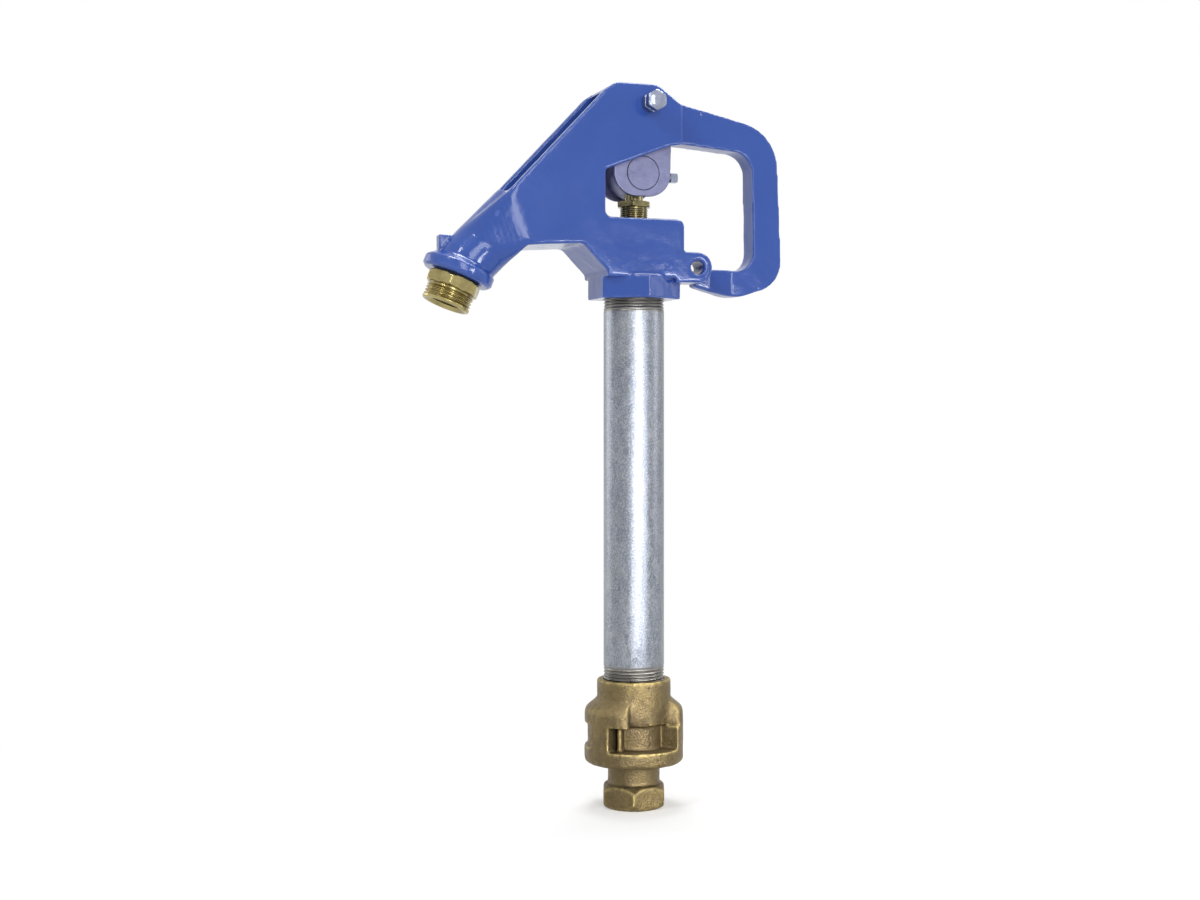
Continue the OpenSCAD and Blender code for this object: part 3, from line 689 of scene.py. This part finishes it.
# %% Packing nut
GLAND_FOOT = 397.1 * MM
GLAND_HEX = BLOCK_TOP + 9.6 * MM
GLAND_CORNER = math.radians(8)
GLAND_RADIUS = 9.75 * MM
GLAND_NECK = 9.2 * MM
STEM_HOLE = 6.43 * MM
gland_rows = rows_at(GLAND_FOOT, GLAND_RADIUS, (0, -0.95), (0.8, 0))
gland_rows += thread(GLAND_FOOT + 1 * MM, GLAND_HEX - 1.6 * MM, GLAND_RADIUS, 0.55 * MM, 1.4 * MM,
                     run_out=1.2 * MM)
gland_rows += rows_at(GLAND_HEX, GLAND_NECK, (-1.2, 0), (0, 0))
gland_rows += chamfered_hex(GLAND_HEX, GLAND_HEX + 4 * MM, 22.2 * MM, GLAND_CORNER, 0.9 * MM)
gland_rows += rows_at(GLAND_HEX, STEM_HOLE, (4, 0.57), (3.5, 0))
gland_rows += rows_at(GLAND_FOOT, STEM_HOLE, (0.3, 0), (0, 0.37))
gland = turned("gland_nut", "packing_nut", "standpipe", gland_rows,
               corner=GLAND_CORNER)

# %% [markdown]
# ## The pivot's bolt and nuts
#
# The lever turns on a zinc-plated hexagon bolt. Its head has a domed face, a spring washer lies under it, and
# a jam nut locks it against the front cheek. At the back a flat washer and a nut hold it, and the bolt's
# threaded end stands out of the nut.

# %% Pivot bolt
BOLT_RADIUS = 3.97 * MM
BOLT_CORNER = math.radians(30)
BOLT_FRONT = -40.6 * MM
BOLT_BASE = -34.65 * MM
BOLT_END = 36.1 * MM
BOLT_HEX = 12.7 * MM
BOLT_CHAMFER = 0.9 * MM
# The domed face, the hexagon, the neck under it and the shank
bolt_rows = rows_at(BOLT_FRONT, 0, (0, 0.8), (0.05, 2.2), (0.2, 3.8), (0.5, 5.0), (0.8, 5.7))
bolt_rows += chamfered_hex(BOLT_FRONT + 0.9 * MM, BOLT_BASE - 0.4 * MM, BOLT_HEX, BOLT_CORNER,
                           BOLT_CHAMFER, top_cut=False)
bolt_rows += rows_at(BOLT_BASE, 0, (-0.4, 5.9), (0, 5.9)) + rows_at(BOLT_BASE, BOLT_RADIUS, (0, 0))
bolt_rows += rows_at(0, BOLT_RADIUS, (30, 0))
bolt_rows += thread(33 * MM, BOLT_END - 0.4 * MM, BOLT_RADIUS, 0.55 * MM, 1.25 * MM)
bolt_rows += [(BOLT_END, BOLT_RADIUS - 0.8 * MM), (BOLT_END, 1 * MM)]
bolt = turned("bolt", "pivot_bolt", "standpipe", bolt_rows, place=PIVOT,
              axis=SIDEWAYS, solid=True, corner=BOLT_CORNER)


def bolt_nut(name, node, front, back):
    rows = chamfered_hex(front, back, BOLT_HEX, BOLT_CORNER, BOLT_CHAMFER)
    rows += rows_at(back, BOLT_RADIUS, (0, 0.5), (-0.45, 0.05))
    rows += rows_at(front, BOLT_RADIUS, (0.45, 0.05), (0, 0.5))
    return turned(name, node, "standpipe", rows, place=PIVOT, axis=SIDEWAYS,
                  corner=BOLT_CORNER)


jam_nut = bolt_nut("jam_nut", "pivot_jam_nut", -32.5 * MM, -26 * MM)
rear_nut = bolt_nut("rear_nut", "pivot_rear_nut", 27.6 * MM, 34.1 * MM)

# %% [markdown]
# ## The set screw
#
# A square-headed screw clamps the crosshead on the stem. It is old-fashioned and strong: a spanner fits its
# head from the side. The head's outer corners are turned down a little.

# %% Set screw
SCREW_CORNER = math.radians(45)
screw_rows = rows_at(0, 0, (6.4, 2.2), (7.2, 3.15))
screw_rows += thread(7.4 * MM, 26.2 * MM, 3.17 * MM, 0.5 * MM, 1.27 * MM, run_out=1.0 * MM, steps=7)
screw_rows += rows_at(0, 0, (26.6, 3.0), (26.75, 2.9))
screw_rows += chamfered_hex(26.75 * MM, 31.95 * MM, 6.2 * MM, SCREW_CORNER, 0.8 * MM, sides=4,
                            foot_cut=False)
screw_rows += rows_at(0, 0, (32, 1.5))
screw = turned("square_screw", "crosshead_set_screw", "operating_rod", screw_rows,
               place=CROSSHEAD, axis=(1, 0, 0), solid=True, corner=SCREW_CORNER)

# %% [markdown]
# ## Small helpers for finishes
#
# A finish is a net of nodes. These helpers keep the nets short: one lays a second colour over a first by a
# share, and one stretches a share between two numbers. Colours are written as on a screen, from 0 to 255, and
# turned into light amounts.

# %% Finish helpers


def screen(red, green, blue):
    """A screen colour as the amounts of light that a shader uses."""
    light = []
    for value in (red, green, blue):
        value /= 255
        light.append(value / 12.92 if value <= 0.04045 else ((value + 0.055) / 1.055) ** 2.4)
    return (*light, 1.0)


def stretch(tree, value, low, high, start=0.0, end=1.0):
    """A value that runs from start to end, turned into one that runs from low to high."""
    node = add(tree, "ShaderNodeMapRange")
    join(tree, value, node.inputs["Value"])
    join(tree, start, node.inputs["From Min"])
    join(tree, end, node.inputs["From Max"])
    node.inputs["To Min"].default_value = low
    node.inputs["To Max"].default_value = high
    return node.outputs[0]


def vector_calc(tree, operation, first, second):
    return calc(tree, operation, first, second, "ShaderNodeVectorMath")


def tint(tree, first, second, share, most=1.0):
    """The first colour with the second, a screen colour, laid over it by a share of at most most."""
    if most < 1:
        share = calc(tree, "MULTIPLY", share, most)
    node = add(tree, "ShaderNodeMix", data_type="RGBA")
    join(tree, share, node.inputs[0])
    join(tree, first, node.inputs[6])
    join(tree, screen(*second), node.inputs[7])
    return node.outputs[2]


def noise_of(tree, place, scale, detail=2.0, rough=0.5):
    node = add(tree, "ShaderNodeTexNoise", Detail=detail, Roughness=rough)
    join(tree, place, node.inputs["Vector"])
    join(tree, scale, node.inputs["Scale"])
    return node.outputs[0]


def new_group(name, inputs, outputs):
    """An empty node group with its named inputs and outputs."""
    group = bpy.data.node_groups.new(name, "ShaderNodeTree")
    for label, kind, value in inputs:
        socket = group.interface.new_socket(name=label, in_out="INPUT", socket_type=kind)
        if value is not None:
            socket.default_value = value
    for label in outputs:
        group.interface.new_socket(name=label, in_out="OUTPUT", socket_type="NodeSocketFloat")
    print("group:", name, "gives:", outputs)
    return group, group.nodes.new("NodeGroupInput").outputs, group.nodes.new("NodeGroupOutput").inputs


def use_group(tree, group, **values):
    """The group in a material, with its own values."""
    node = tree.nodes.new("ShaderNodeGroup")
    node.node_tree = group
    for key, value in values.items():
        join(tree, value, node.inputs[key.replace("_", " ")])
    return node.outputs


print("middle grey as light:", round(screen(128, 128, 128)[0], 3))

# %% [markdown]
# ## Cast skin
#
# A sand casting has grain from the sand, slow waves from the mould and a few pits where sand fell in. Iron
# and brass castings here share this group. The enamel drowns the fine grain, so it uses larger and softer
# values than the bare brass.

# %% Cast skin group


def build_cast_skin():
    group, given, gives = new_group(
        "cast_skin",
        [("Place", "NodeSocketVector", None), ("Grain", "NodeSocketFloat", 700.0),
         ("Wave", "NodeSocketFloat", 90.0), ("Pits", "NodeSocketFloat", 0.5)],
        ["Height", "Pitted", "Drift"])
    grain = noise_of(group, given["Place"], given["Grain"], 4.0, 0.6)
    wave = noise_of(group, given["Place"], given["Wave"], 2.0)
    cells = add(group, "ShaderNodeTexVoronoi")
    join(group, given["Place"], cells.inputs["Vector"])
    join(group, calc(group, "MULTIPLY", given["Grain"], 0.3), cells.inputs["Scale"])
    hole = stretch(group, cells.outputs["Distance"], 1.0, 0.0, 0.05, 0.3)
    some = stretch(group, noise_of(group, given["Place"], 45.0), 0.0, 1.0, 0.52, 0.66)
    pitted = calc(group, "MULTIPLY", calc(group, "MULTIPLY", hole, some), given["Pits"])
    bumps = calc(group, "ADD", calc(group, "MULTIPLY", grain, 0.6), calc(group, "MULTIPLY", wave, 0.6))
    join(group, calc(group, "SUBTRACT", bumps, calc(group, "MULTIPLY", pitted, 0.5)), gives["Height"])
    join(group, pitted, gives["Pitted"])
    join(group, noise_of(group, given["Place"], 22.0, 3.0), gives["Drift"])
    return group


cast_skin = build_cast_skin()

# %% [markdown]
# ## Edge wear and painted light
#
# On the enamel the outer edges get a painted highlight and the inner corners a painted shade, and hands and
# tools polish bare metal where it stands out. The net's own sharpness finds both places, and noise breaks
# them up so that they look worn and not drawn.

# %% Edge wear and painted light group


def build_edge_wear_and_painted_light():
    group, given, gives = new_group(
        "edge_wear_and_painted_light",
        [("Place", "NodeSocketVector", None), ("Start", "NodeSocketFloat", 0.51),
         ("End", "NodeSocketFloat", 0.56), ("Breakup", "NodeSocketFloat", 260.0)],
        ["Edge", "Hollow"])
    form = add(group, "ShaderNodeNewGeometry")
    sharp = stretch(group, form.outputs["Pointiness"], 0.0, 1.0, given["Start"], given["End"])
    broken = stretch(group, noise_of(group, given["Place"], given["Breakup"], 3.0), 0.1, 1.0, 0.36, 0.6)
    join(group, calc(group, "MULTIPLY", sharp, broken), gives["Edge"])
    join(group, stretch(group, form.outputs["Pointiness"], 1.0, 0.0, 0.43, 0.495), gives["Hollow"])
    return group


edge_wear_and_painted_light = build_edge_wear_and_painted_light()

# %% [markdown]
# ## Lathe marks
#
# A lathe tool leaves fine rings. They follow the height along the piece's own axis, which the turned pieces
# carry in their nets. Two sizes of ring and a slow stain keep the surface from looking printed.

# %% Lathe marks group


def build_lathe_marks():
    group, given, gives = new_group(
        "lathe_marks",
        [("Place", "NodeSocketVector", None), ("Along", "NodeSocketFloat", 0.0),
         ("Rings", "NodeSocketFloat", 2600.0)],
        ["Height", "Streak", "Stain"])
    fine = add(group, "ShaderNodeTexNoise", noise_dimensions="1D", Detail=2.0, Scale=1.0)
    join(group, calc(group, "MULTIPLY", given["Along"], given["Rings"]), fine.inputs["W"])
    broad = add(group, "ShaderNodeTexNoise", noise_dimensions="1D", Detail=1.0, Scale=1.0)
    join(group, calc(group, "MULTIPLY", given["Along"], 420.0), broad.inputs["W"])
    join(group, calc(group, "ADD", calc(group, "MULTIPLY", fine.outputs[0], 0.7),
                     calc(group, "MULTIPLY", broad.outputs[0], 0.3)), gives["Height"])
    join(group, broad.outputs[0], gives["Streak"])
    join(group, noise_of(group, given["Place"], 150.0, 4.0, 0.6), gives["Stain"])
    return group


lathe_marks = build_lathe_marks()

# %% [markdown]
# ## Zinc spangle
#
# Molten zinc freezes into crystals, each with its own shade. The pipe is pulled out of the bath upright and
# wiped, so the crystals are faint and drawn out along the pipe, with long pale and dark streaks.

# %% Spangle group


def build_spangle():
    group, given, gives = new_group(
        "zinc_spangle",
        [("Place", "NodeSocketVector", None), ("Crystals", "NodeSocketFloat", 150.0)],
        ["Shade", "Streak", "Grain"])
    longer = vector_calc(group, "MULTIPLY", given["Place"], (1.0, 1.0, 0.45))
    bent = add(group, "ShaderNodeTexNoise", Scale=60.0, Detail=3.0)
    join(group, given["Place"], bent.inputs["Vector"])
    push = vector_calc(group, "MULTIPLY", bent.outputs["Color"], (0.008, 0.008, 0.008))
    cells = add(group, "ShaderNodeTexVoronoi")
    join(group, vector_calc(group, "ADD", push, longer), cells.inputs["Vector"])
    join(group, given["Crystals"], cells.inputs["Scale"])
    parts = add(group, "ShaderNodeSeparateColor")
    join(group, cells.outputs["Color"], parts.inputs[0])
    join(group, parts.outputs[0], gives["Shade"])
    drawn_out = vector_calc(group, "MULTIPLY", given["Place"], (1.0, 1.0, 0.06))
    join(group, noise_of(group, drawn_out, 170.0, 3.0), gives["Streak"])
    join(group, noise_of(group, given["Place"], 900.0, 3.0, 0.6), gives["Grain"])
    return group


spangle = build_spangle()

# %% [markdown]
# ## A finish and its shader
#
# Each finish starts in the same way: a fresh net, the main shader, and the place on the object that the
# noises read. Values that are the same all over, such as the metallic value and the coat, are set on the
# shader's own sockets.

# %% Start a finish


def start_finish(name, metallic, **plain):
    material = bpy.data.materials.new(name)
    material.use_nodes = True
    tree = material.node_tree
    shader = tree.nodes["Principled BSDF"].inputs
    shader["Metallic"].default_value = metallic
    for key, value in plain.items():
        shader[key.replace("_", " ")].default_value = value
    print("finish:", name, "metallic:", metallic)
    return material, tree, add(tree, "ShaderNodeTexCoord").outputs["Object"]


def fill(material, colour, rough, height, depth, strength):
    """The material with its colour, its roughness and bumps of that depth in metres."""
    tree = material.node_tree
    shader = tree.nodes["Principled BSDF"].inputs
    join(tree, colour, shader["Base Color"])
    join(tree, rough, shader["Roughness"])
    bump = add(tree, "ShaderNodeBump", Distance=depth, Strength=strength)
    join(tree, height, bump.inputs["Height"])
    join(tree, bump.outputs[0], shader["Normal"])
    return material


def height_in_piece(tree):
    """The height along the piece's own axis, which turned() wrote into the net."""
    return add(tree, "ShaderNodeAttribute", attribute_name="along").outputs["Fac"]


def height_on_riser(tree, place):
    parts = add(tree, "ShaderNodeSeparateXYZ")
    join(tree, place, parts.inputs[0])
    return parts.outputs["Z"]


# %% [markdown]
# ## Blue enamel
#
# The castings are dipped in glossy blue. The coat is thick enough to round the sand's grain into a soft
# orange peel. Its outer edges are a little paler, a painted highlight, and its inner corners and creases
# darker, a painted shade. A few dull smudges keep the gloss from being perfect.

# %% Enamel finish


def make_enamel():
    material, tree, place = start_finish(
        "enamelled_iron", 0.0, Coat_Weight=0.14, Coat_Roughness=0.03, Specular_IOR_Level=0.3)
    skin = use_group(tree, cast_skin, Place=place, Grain=330.0, Wave=75.0, Pits=0.0)
    edge_masks = use_group(tree, edge_wear_and_painted_light, Place=place, Start=0.505, End=0.55, Breakup=200.0)
    drift = stretch(tree, skin["Drift"], 0.0, 1.0, 0.3, 0.7)
    body = tint(tree, screen(46, 77, 155), (50, 82, 161), drift)
    # Painted shade: darker blue in the inner corners and creases
    painted_crease_shade = tint(tree, body, (32, 52, 126), edge_masks["Hollow"], 0.6)
    # Painted highlight: paler blue on the outer edges
    thin = tint(tree, painted_crease_shade, (112, 136, 205), edge_masks["Edge"], 0.28)
    smudge = stretch(tree, noise_of(tree, place, 55.0, 4.0, 0.6), 0.11, 0.2, 0.35, 0.7)
    return fill(material, thin, smudge, skin["Height"], 0.0005, 0.3)


enamel = make_enamel()

# %% [markdown]
# ## Bare cast brass
#
# The valve's brass has the colour of old sand castings: yellow on what stands out, brown in the hollows and
# pits. Its grain is coarse, and every grain's side that faces a lamp sparkles.

# %% Cast brass finish


def make_cast_brass():
    material, tree, place = start_finish("sand_cast_brass", 0.88)
    skin = use_group(tree, cast_skin, Place=place, Grain=760.0, Wave=130.0, Pits=0.6)
    edge_masks = use_group(tree, edge_wear_and_painted_light, Place=place, Start=0.505, End=0.56, Breakup=320.0)
    drift = stretch(tree, skin["Drift"], 0.0, 1.0, 0.32, 0.68)
    mottle = stretch(tree, noise_of(tree, place, 240.0, 4.0, 0.65), 0.0, 0.6, 0.42, 0.7)
    body = tint(tree, screen(92, 80, 56), (118, 104, 68), drift)
    mottled = tint(tree, body, (84, 71, 56), mottle)
    rubbed = tint(tree, mottled, (206, 184, 118), edge_masks["Edge"], 0.65)
    brown = tint(tree, rubbed, (78, 64, 46), edge_masks["Hollow"], 0.7)
    pits = tint(tree, brown, (66, 52, 38), skin["Pitted"])
    dull = stretch(tree, noise_of(tree, place, 300.0, 3.0, 0.6), 0.34, 0.6, 0.3, 0.7)
    return fill(material, pits, dull, skin["Height"], 0.0009, 1.0)


cast_brass = make_cast_brass()

# %% [markdown]
# ## Turned brass
#
# The nozzle, the packing nut and the inner brass are cut from bar, so they shine. Fine rings from the tool
# run round them, and fingers and water have left a few browner stains. The nut, which nobody wipes, is the
# darkest.

# %% Turned brass finish


def make_turned_brass(name, own_axis, clean, stained):
    material, tree, place = start_finish(name, 0.9)
    along = height_in_piece(tree) if own_axis else height_on_riser(tree, place)
    marks = use_group(tree, lathe_marks, Place=place, Along=along, Rings=2600.0)
    edge_masks = use_group(tree, edge_wear_and_painted_light, Place=place, Start=0.52, End=0.62, Breakup=300.0)
    stain = stretch(tree, marks["Stain"], 0.0, 1.0, 0.35, 0.7)
    body = tint(tree, screen(*clean), stained, stain)
    worn = tint(tree, body, (228, 208, 140), edge_masks["Edge"], 0.6)
    hollow = tint(tree, worn, (92, 78, 50), edge_masks["Hollow"], 0.55)
    rough = calc(tree, "ADD", stretch(tree, marks["Streak"], 0.16, 0.26, 0.3, 0.7),
                 stretch(tree, marks["Stain"], 0.0, 0.12, 0.4, 0.75))
    return fill(material, hollow, rough, marks["Height"], 0.00006, 0.6)


turned_brass = make_turned_brass("turned_brass_bar", True, (168, 156, 106), (138, 126, 84))
old_brass = make_turned_brass("old_brass_bar", True, (142, 134, 96), (106, 98, 70))
drawn_brass = make_turned_brass("drawn_brass_rod", False, (150, 142, 104), (118, 110, 80))

# %% [markdown]
# ## Galvanised pipe
#
# The pipe shows zinc: pale grey with a blue cast, faint crystals, long streaks and fine pale and dark specks,
# which break the edge of the bright band that runs down it. Near both ends, where the thread was cut through
# the zinc, the steel is bare and darker, with a film of oil and dirt in the grooves.

# %% Galvanised finish
LOW_CUT = (0.0975, 0.1)
HIGH_CUT = (0.3425, 0.345)


def make_galvanised():
    material, tree, place = start_finish("galvanised_pipe", 0.92)
    zinc = use_group(tree, spangle, Place=place, Crystals=330.0)
    edge_masks = use_group(tree, edge_wear_and_painted_light, Place=place, Start=0.52, End=0.6, Breakup=300.0)
    shade = tint(tree, screen(126, 131, 141), (142, 146, 155), zinc["Shade"])
    streaky = tint(tree, shade, (108, 114, 126), stretch(tree, zinc["Streak"], 0.0, 0.55, 0.38, 0.68))
    pale = tint(tree, streaky, (178, 182, 184), stretch(tree, zinc["Grain"], 0.0, 0.5, 0.5, 0.66))
    dark = tint(tree, pale, (84, 90, 104), stretch(tree, zinc["Grain"], 0.45, 0.0, 0.34, 0.5))
    patches = stretch(tree, noise_of(tree, place, 48.0, 5.0, 0.65), 0.0, 0.4, 0.5, 0.72)
    stained = tint(tree, dark, (156, 157, 158), patches)
    height = height_on_riser(tree, place)
    low_end = stretch(tree, height, 1.0, 0.0, *LOW_CUT)
    high_end = stretch(tree, height, 0.0, 1.0, *HIGH_CUT)
    cut = calc(tree, "MAXIMUM", low_end, high_end)
    steel = tint(tree, stained, (120, 118, 114), cut)
    dirty = tint(tree, steel, (46, 44, 46), calc(tree, "MULTIPLY", edge_masks["Hollow"], cut))
    rough = calc(tree, "ADD", stretch(tree, zinc["Shade"], 0.24, 0.34),
                 stretch(tree, zinc["Streak"], 0.0, 0.1, 0.35, 0.7))
    relief = calc(tree, "ADD", calc(tree, "MULTIPLY", zinc["Grain"], 0.8),
                  calc(tree, "MULTIPLY", zinc["Shade"], 0.2))
    return fill(material, dirty, rough, relief, 0.0002, 0.65)


galvanised = make_galvanised()

# %% [markdown]
# ## Plated and bare steel
#
# Bolts and nuts are zinc plated: bright, a little blue, with dull spots. The link plates and the crosshead
# are steel with a thin grey phosphate, which looks soft and slightly violet under the sky. A thin dark ring
# is painted where a plate meets the crosshead's end, a painted shade of the gap there.

# %% Steel finishes
JOINT_RADIUS = 11.62 * MM


def make_plated():
    material, tree, place = start_finish("zinc_plated_steel", 0.95)
    marks = use_group(tree, lathe_marks, Place=place, Along=height_in_piece(tree), Rings=3000.0)
    edge_masks = use_group(tree, edge_wear_and_painted_light, Place=place, Start=0.52, End=0.62, Breakup=400.0)
    stain = stretch(tree, marks["Stain"], 0.0, 1.0, 0.35, 0.7)
    body = tint(tree, screen(160, 167, 187), (118, 125, 142), stain)
    hollow = tint(tree, body, (72, 76, 88), edge_masks["Hollow"], 0.7)
    dull = stretch(tree, marks["Stain"], 0.14, 0.3, 0.35, 0.7)
    return fill(material, hollow, dull, marks["Height"], 0.00005, 0.5)


def ring_round_crosshead(tree, place):
    """1 on the joint between a link plate and the crosshead's end, where a painted shade of the gap goes, and
    0 off it.
    """
    away = vector_calc(tree, "SUBTRACT", place, CROSSHEAD)
    reach = length_of(tree, vector_calc(tree, "MULTIPLY", away, (1.0, 0.0, 1.0)))
    off = calc(tree, "ABSOLUTE", calc(tree, "SUBTRACT", reach, JOINT_RADIUS))
    return stretch(tree, off, 1.0, 0.0, 0.2 * MM, 0.55 * MM)


def make_link_steel():
    material, tree, place = start_finish("phosphated_steel", 0.85)
    cloud = noise_of(tree, place, 120.0, 5.0, 0.62)
    rolled = noise_of(tree, vector_calc(tree, "MULTIPLY", place, (1.0, 1.0, 9.0)), 220.0, 4.0, 0.6)
    edge_masks = use_group(tree, edge_wear_and_painted_light, Place=place, Start=0.53, End=0.64, Breakup=400.0)
    body = tint(tree, screen(118, 119, 151), (102, 104, 134), stretch(tree, cloud, 0.0, 1.0, 0.35, 0.68))
    lines = tint(tree, body, (135, 137, 166), stretch(tree, rolled, 0.0, 0.35, 0.4, 0.7))
    bright = tint(tree, lines, (210, 212, 224), edge_masks["Edge"], 0.8)
    # Painted shade: a thin dark ring on the gap round the crosshead's end
    painted_gap_shade = tint(tree, bright, (44, 46, 66), ring_round_crosshead(tree, place), 0.85)
    return fill(material, painted_gap_shade, stretch(tree, cloud, 0.34, 0.5, 0.35, 0.7), rolled, 0.00008, 0.5)


plated = make_plated()
link_steel = make_link_steel()

# %% [markdown]
# ## Black rubber
#
# Gasket, packing rings and plunger seals are black rubber. It is dull, and a pale bloom lies on it in
# patches.

# %% Rubber finish


def make_rubber():
    material, tree, place = start_finish("black_rubber_ring", 0.0)
    bloom = noise_of(tree, place, 260.0, 4.0, 0.6)
    dusty = tint(tree, screen(26, 26, 28), (62, 62, 66), stretch(tree, bloom, 0.0, 0.6, 0.45, 0.75))
    return fill(material, dusty, stretch(tree, bloom, 0.5, 0.8, 0.35, 0.7),
                noise_of(tree, place, 1500.0, 2.0), 0.00006, 0.6)


rubber = make_rubber()

# %% [markdown]
# ## Dressing every piece
#
# The pieces made above take their finish now. The drawn solids whose shape is right already keep their nets
# and get the finish of the record's slot. Where their edges are seen, a small bevel catches the light.

# %% Give each piece its finish


def flag(card, *pieces):
    """Only these pieces mirror the card."""
    seen_by = bpy.data.collections.new(card.name + "_seen_by")
    for piece in pieces:
        seen_by.objects.link(piece)
    card.light_linking.receiver_collection = seen_by


flag(pipe_card, riser, valve)
flag(valve_card, valve)
flag(enamel_card, head, handle)

finishes = [(enamel, [head, handle]), (cast_brass, [valve]), (galvanised, [riser]), (turned_brass, [nozzle]),
            (old_brass, [gland]), (link_steel, links), (plated, [bolt, jam_nut, rear_nut, screw])]
for finish, pieces in finishes:
    for piece in pieces:
        piece.data.materials.append(finish)

FINISH_OF_SLOT = {"plated_steel": plated, "link_steel": link_steel, "turned_brass": drawn_brass,
                  "black_rubber": rubber}
# Bevel of the drawn solids whose edges are seen, in millimetres
BEVELS = {"crosshead": 0.5, "operating_stem": 0.4, "pivot_rear_washer": 0.3, "pivot_lock_washer": 0.2,
          "link_pin": 0.4}


def crisp_bevel(piece, width):
    """A small bevel on the sharp edges of a drawn solid, shaded as flat faces and round corners."""
    weld = piece.modifiers.new("weld", "WELD")
    weld.merge_threshold = 1e-6
    bevel = piece.modifiers.new("bevel", "BEVEL")
    bevel.width = width
    bevel.segments = 2
    bevel.limit_method = "ANGLE"
    bevel.angle_limit = math.radians(40)
    shade = piece.modifiers.new("shade", "WEIGHTED_NORMAL")
    shade.keep_sharp = False


for name, node in nodes.items():
    if not node.hide_render:
        for material_slot in node.material_slots:
            kind = material_slot.material.name.split(".")[0]
            material_slot.link = "OBJECT"
            material_slot.material = FINISH_OF_SLOT[kind]
        if name in BEVELS:
            crisp_bevel(node, BEVELS[name] * MM)
print("dressed:", len(nodes), "nodes")
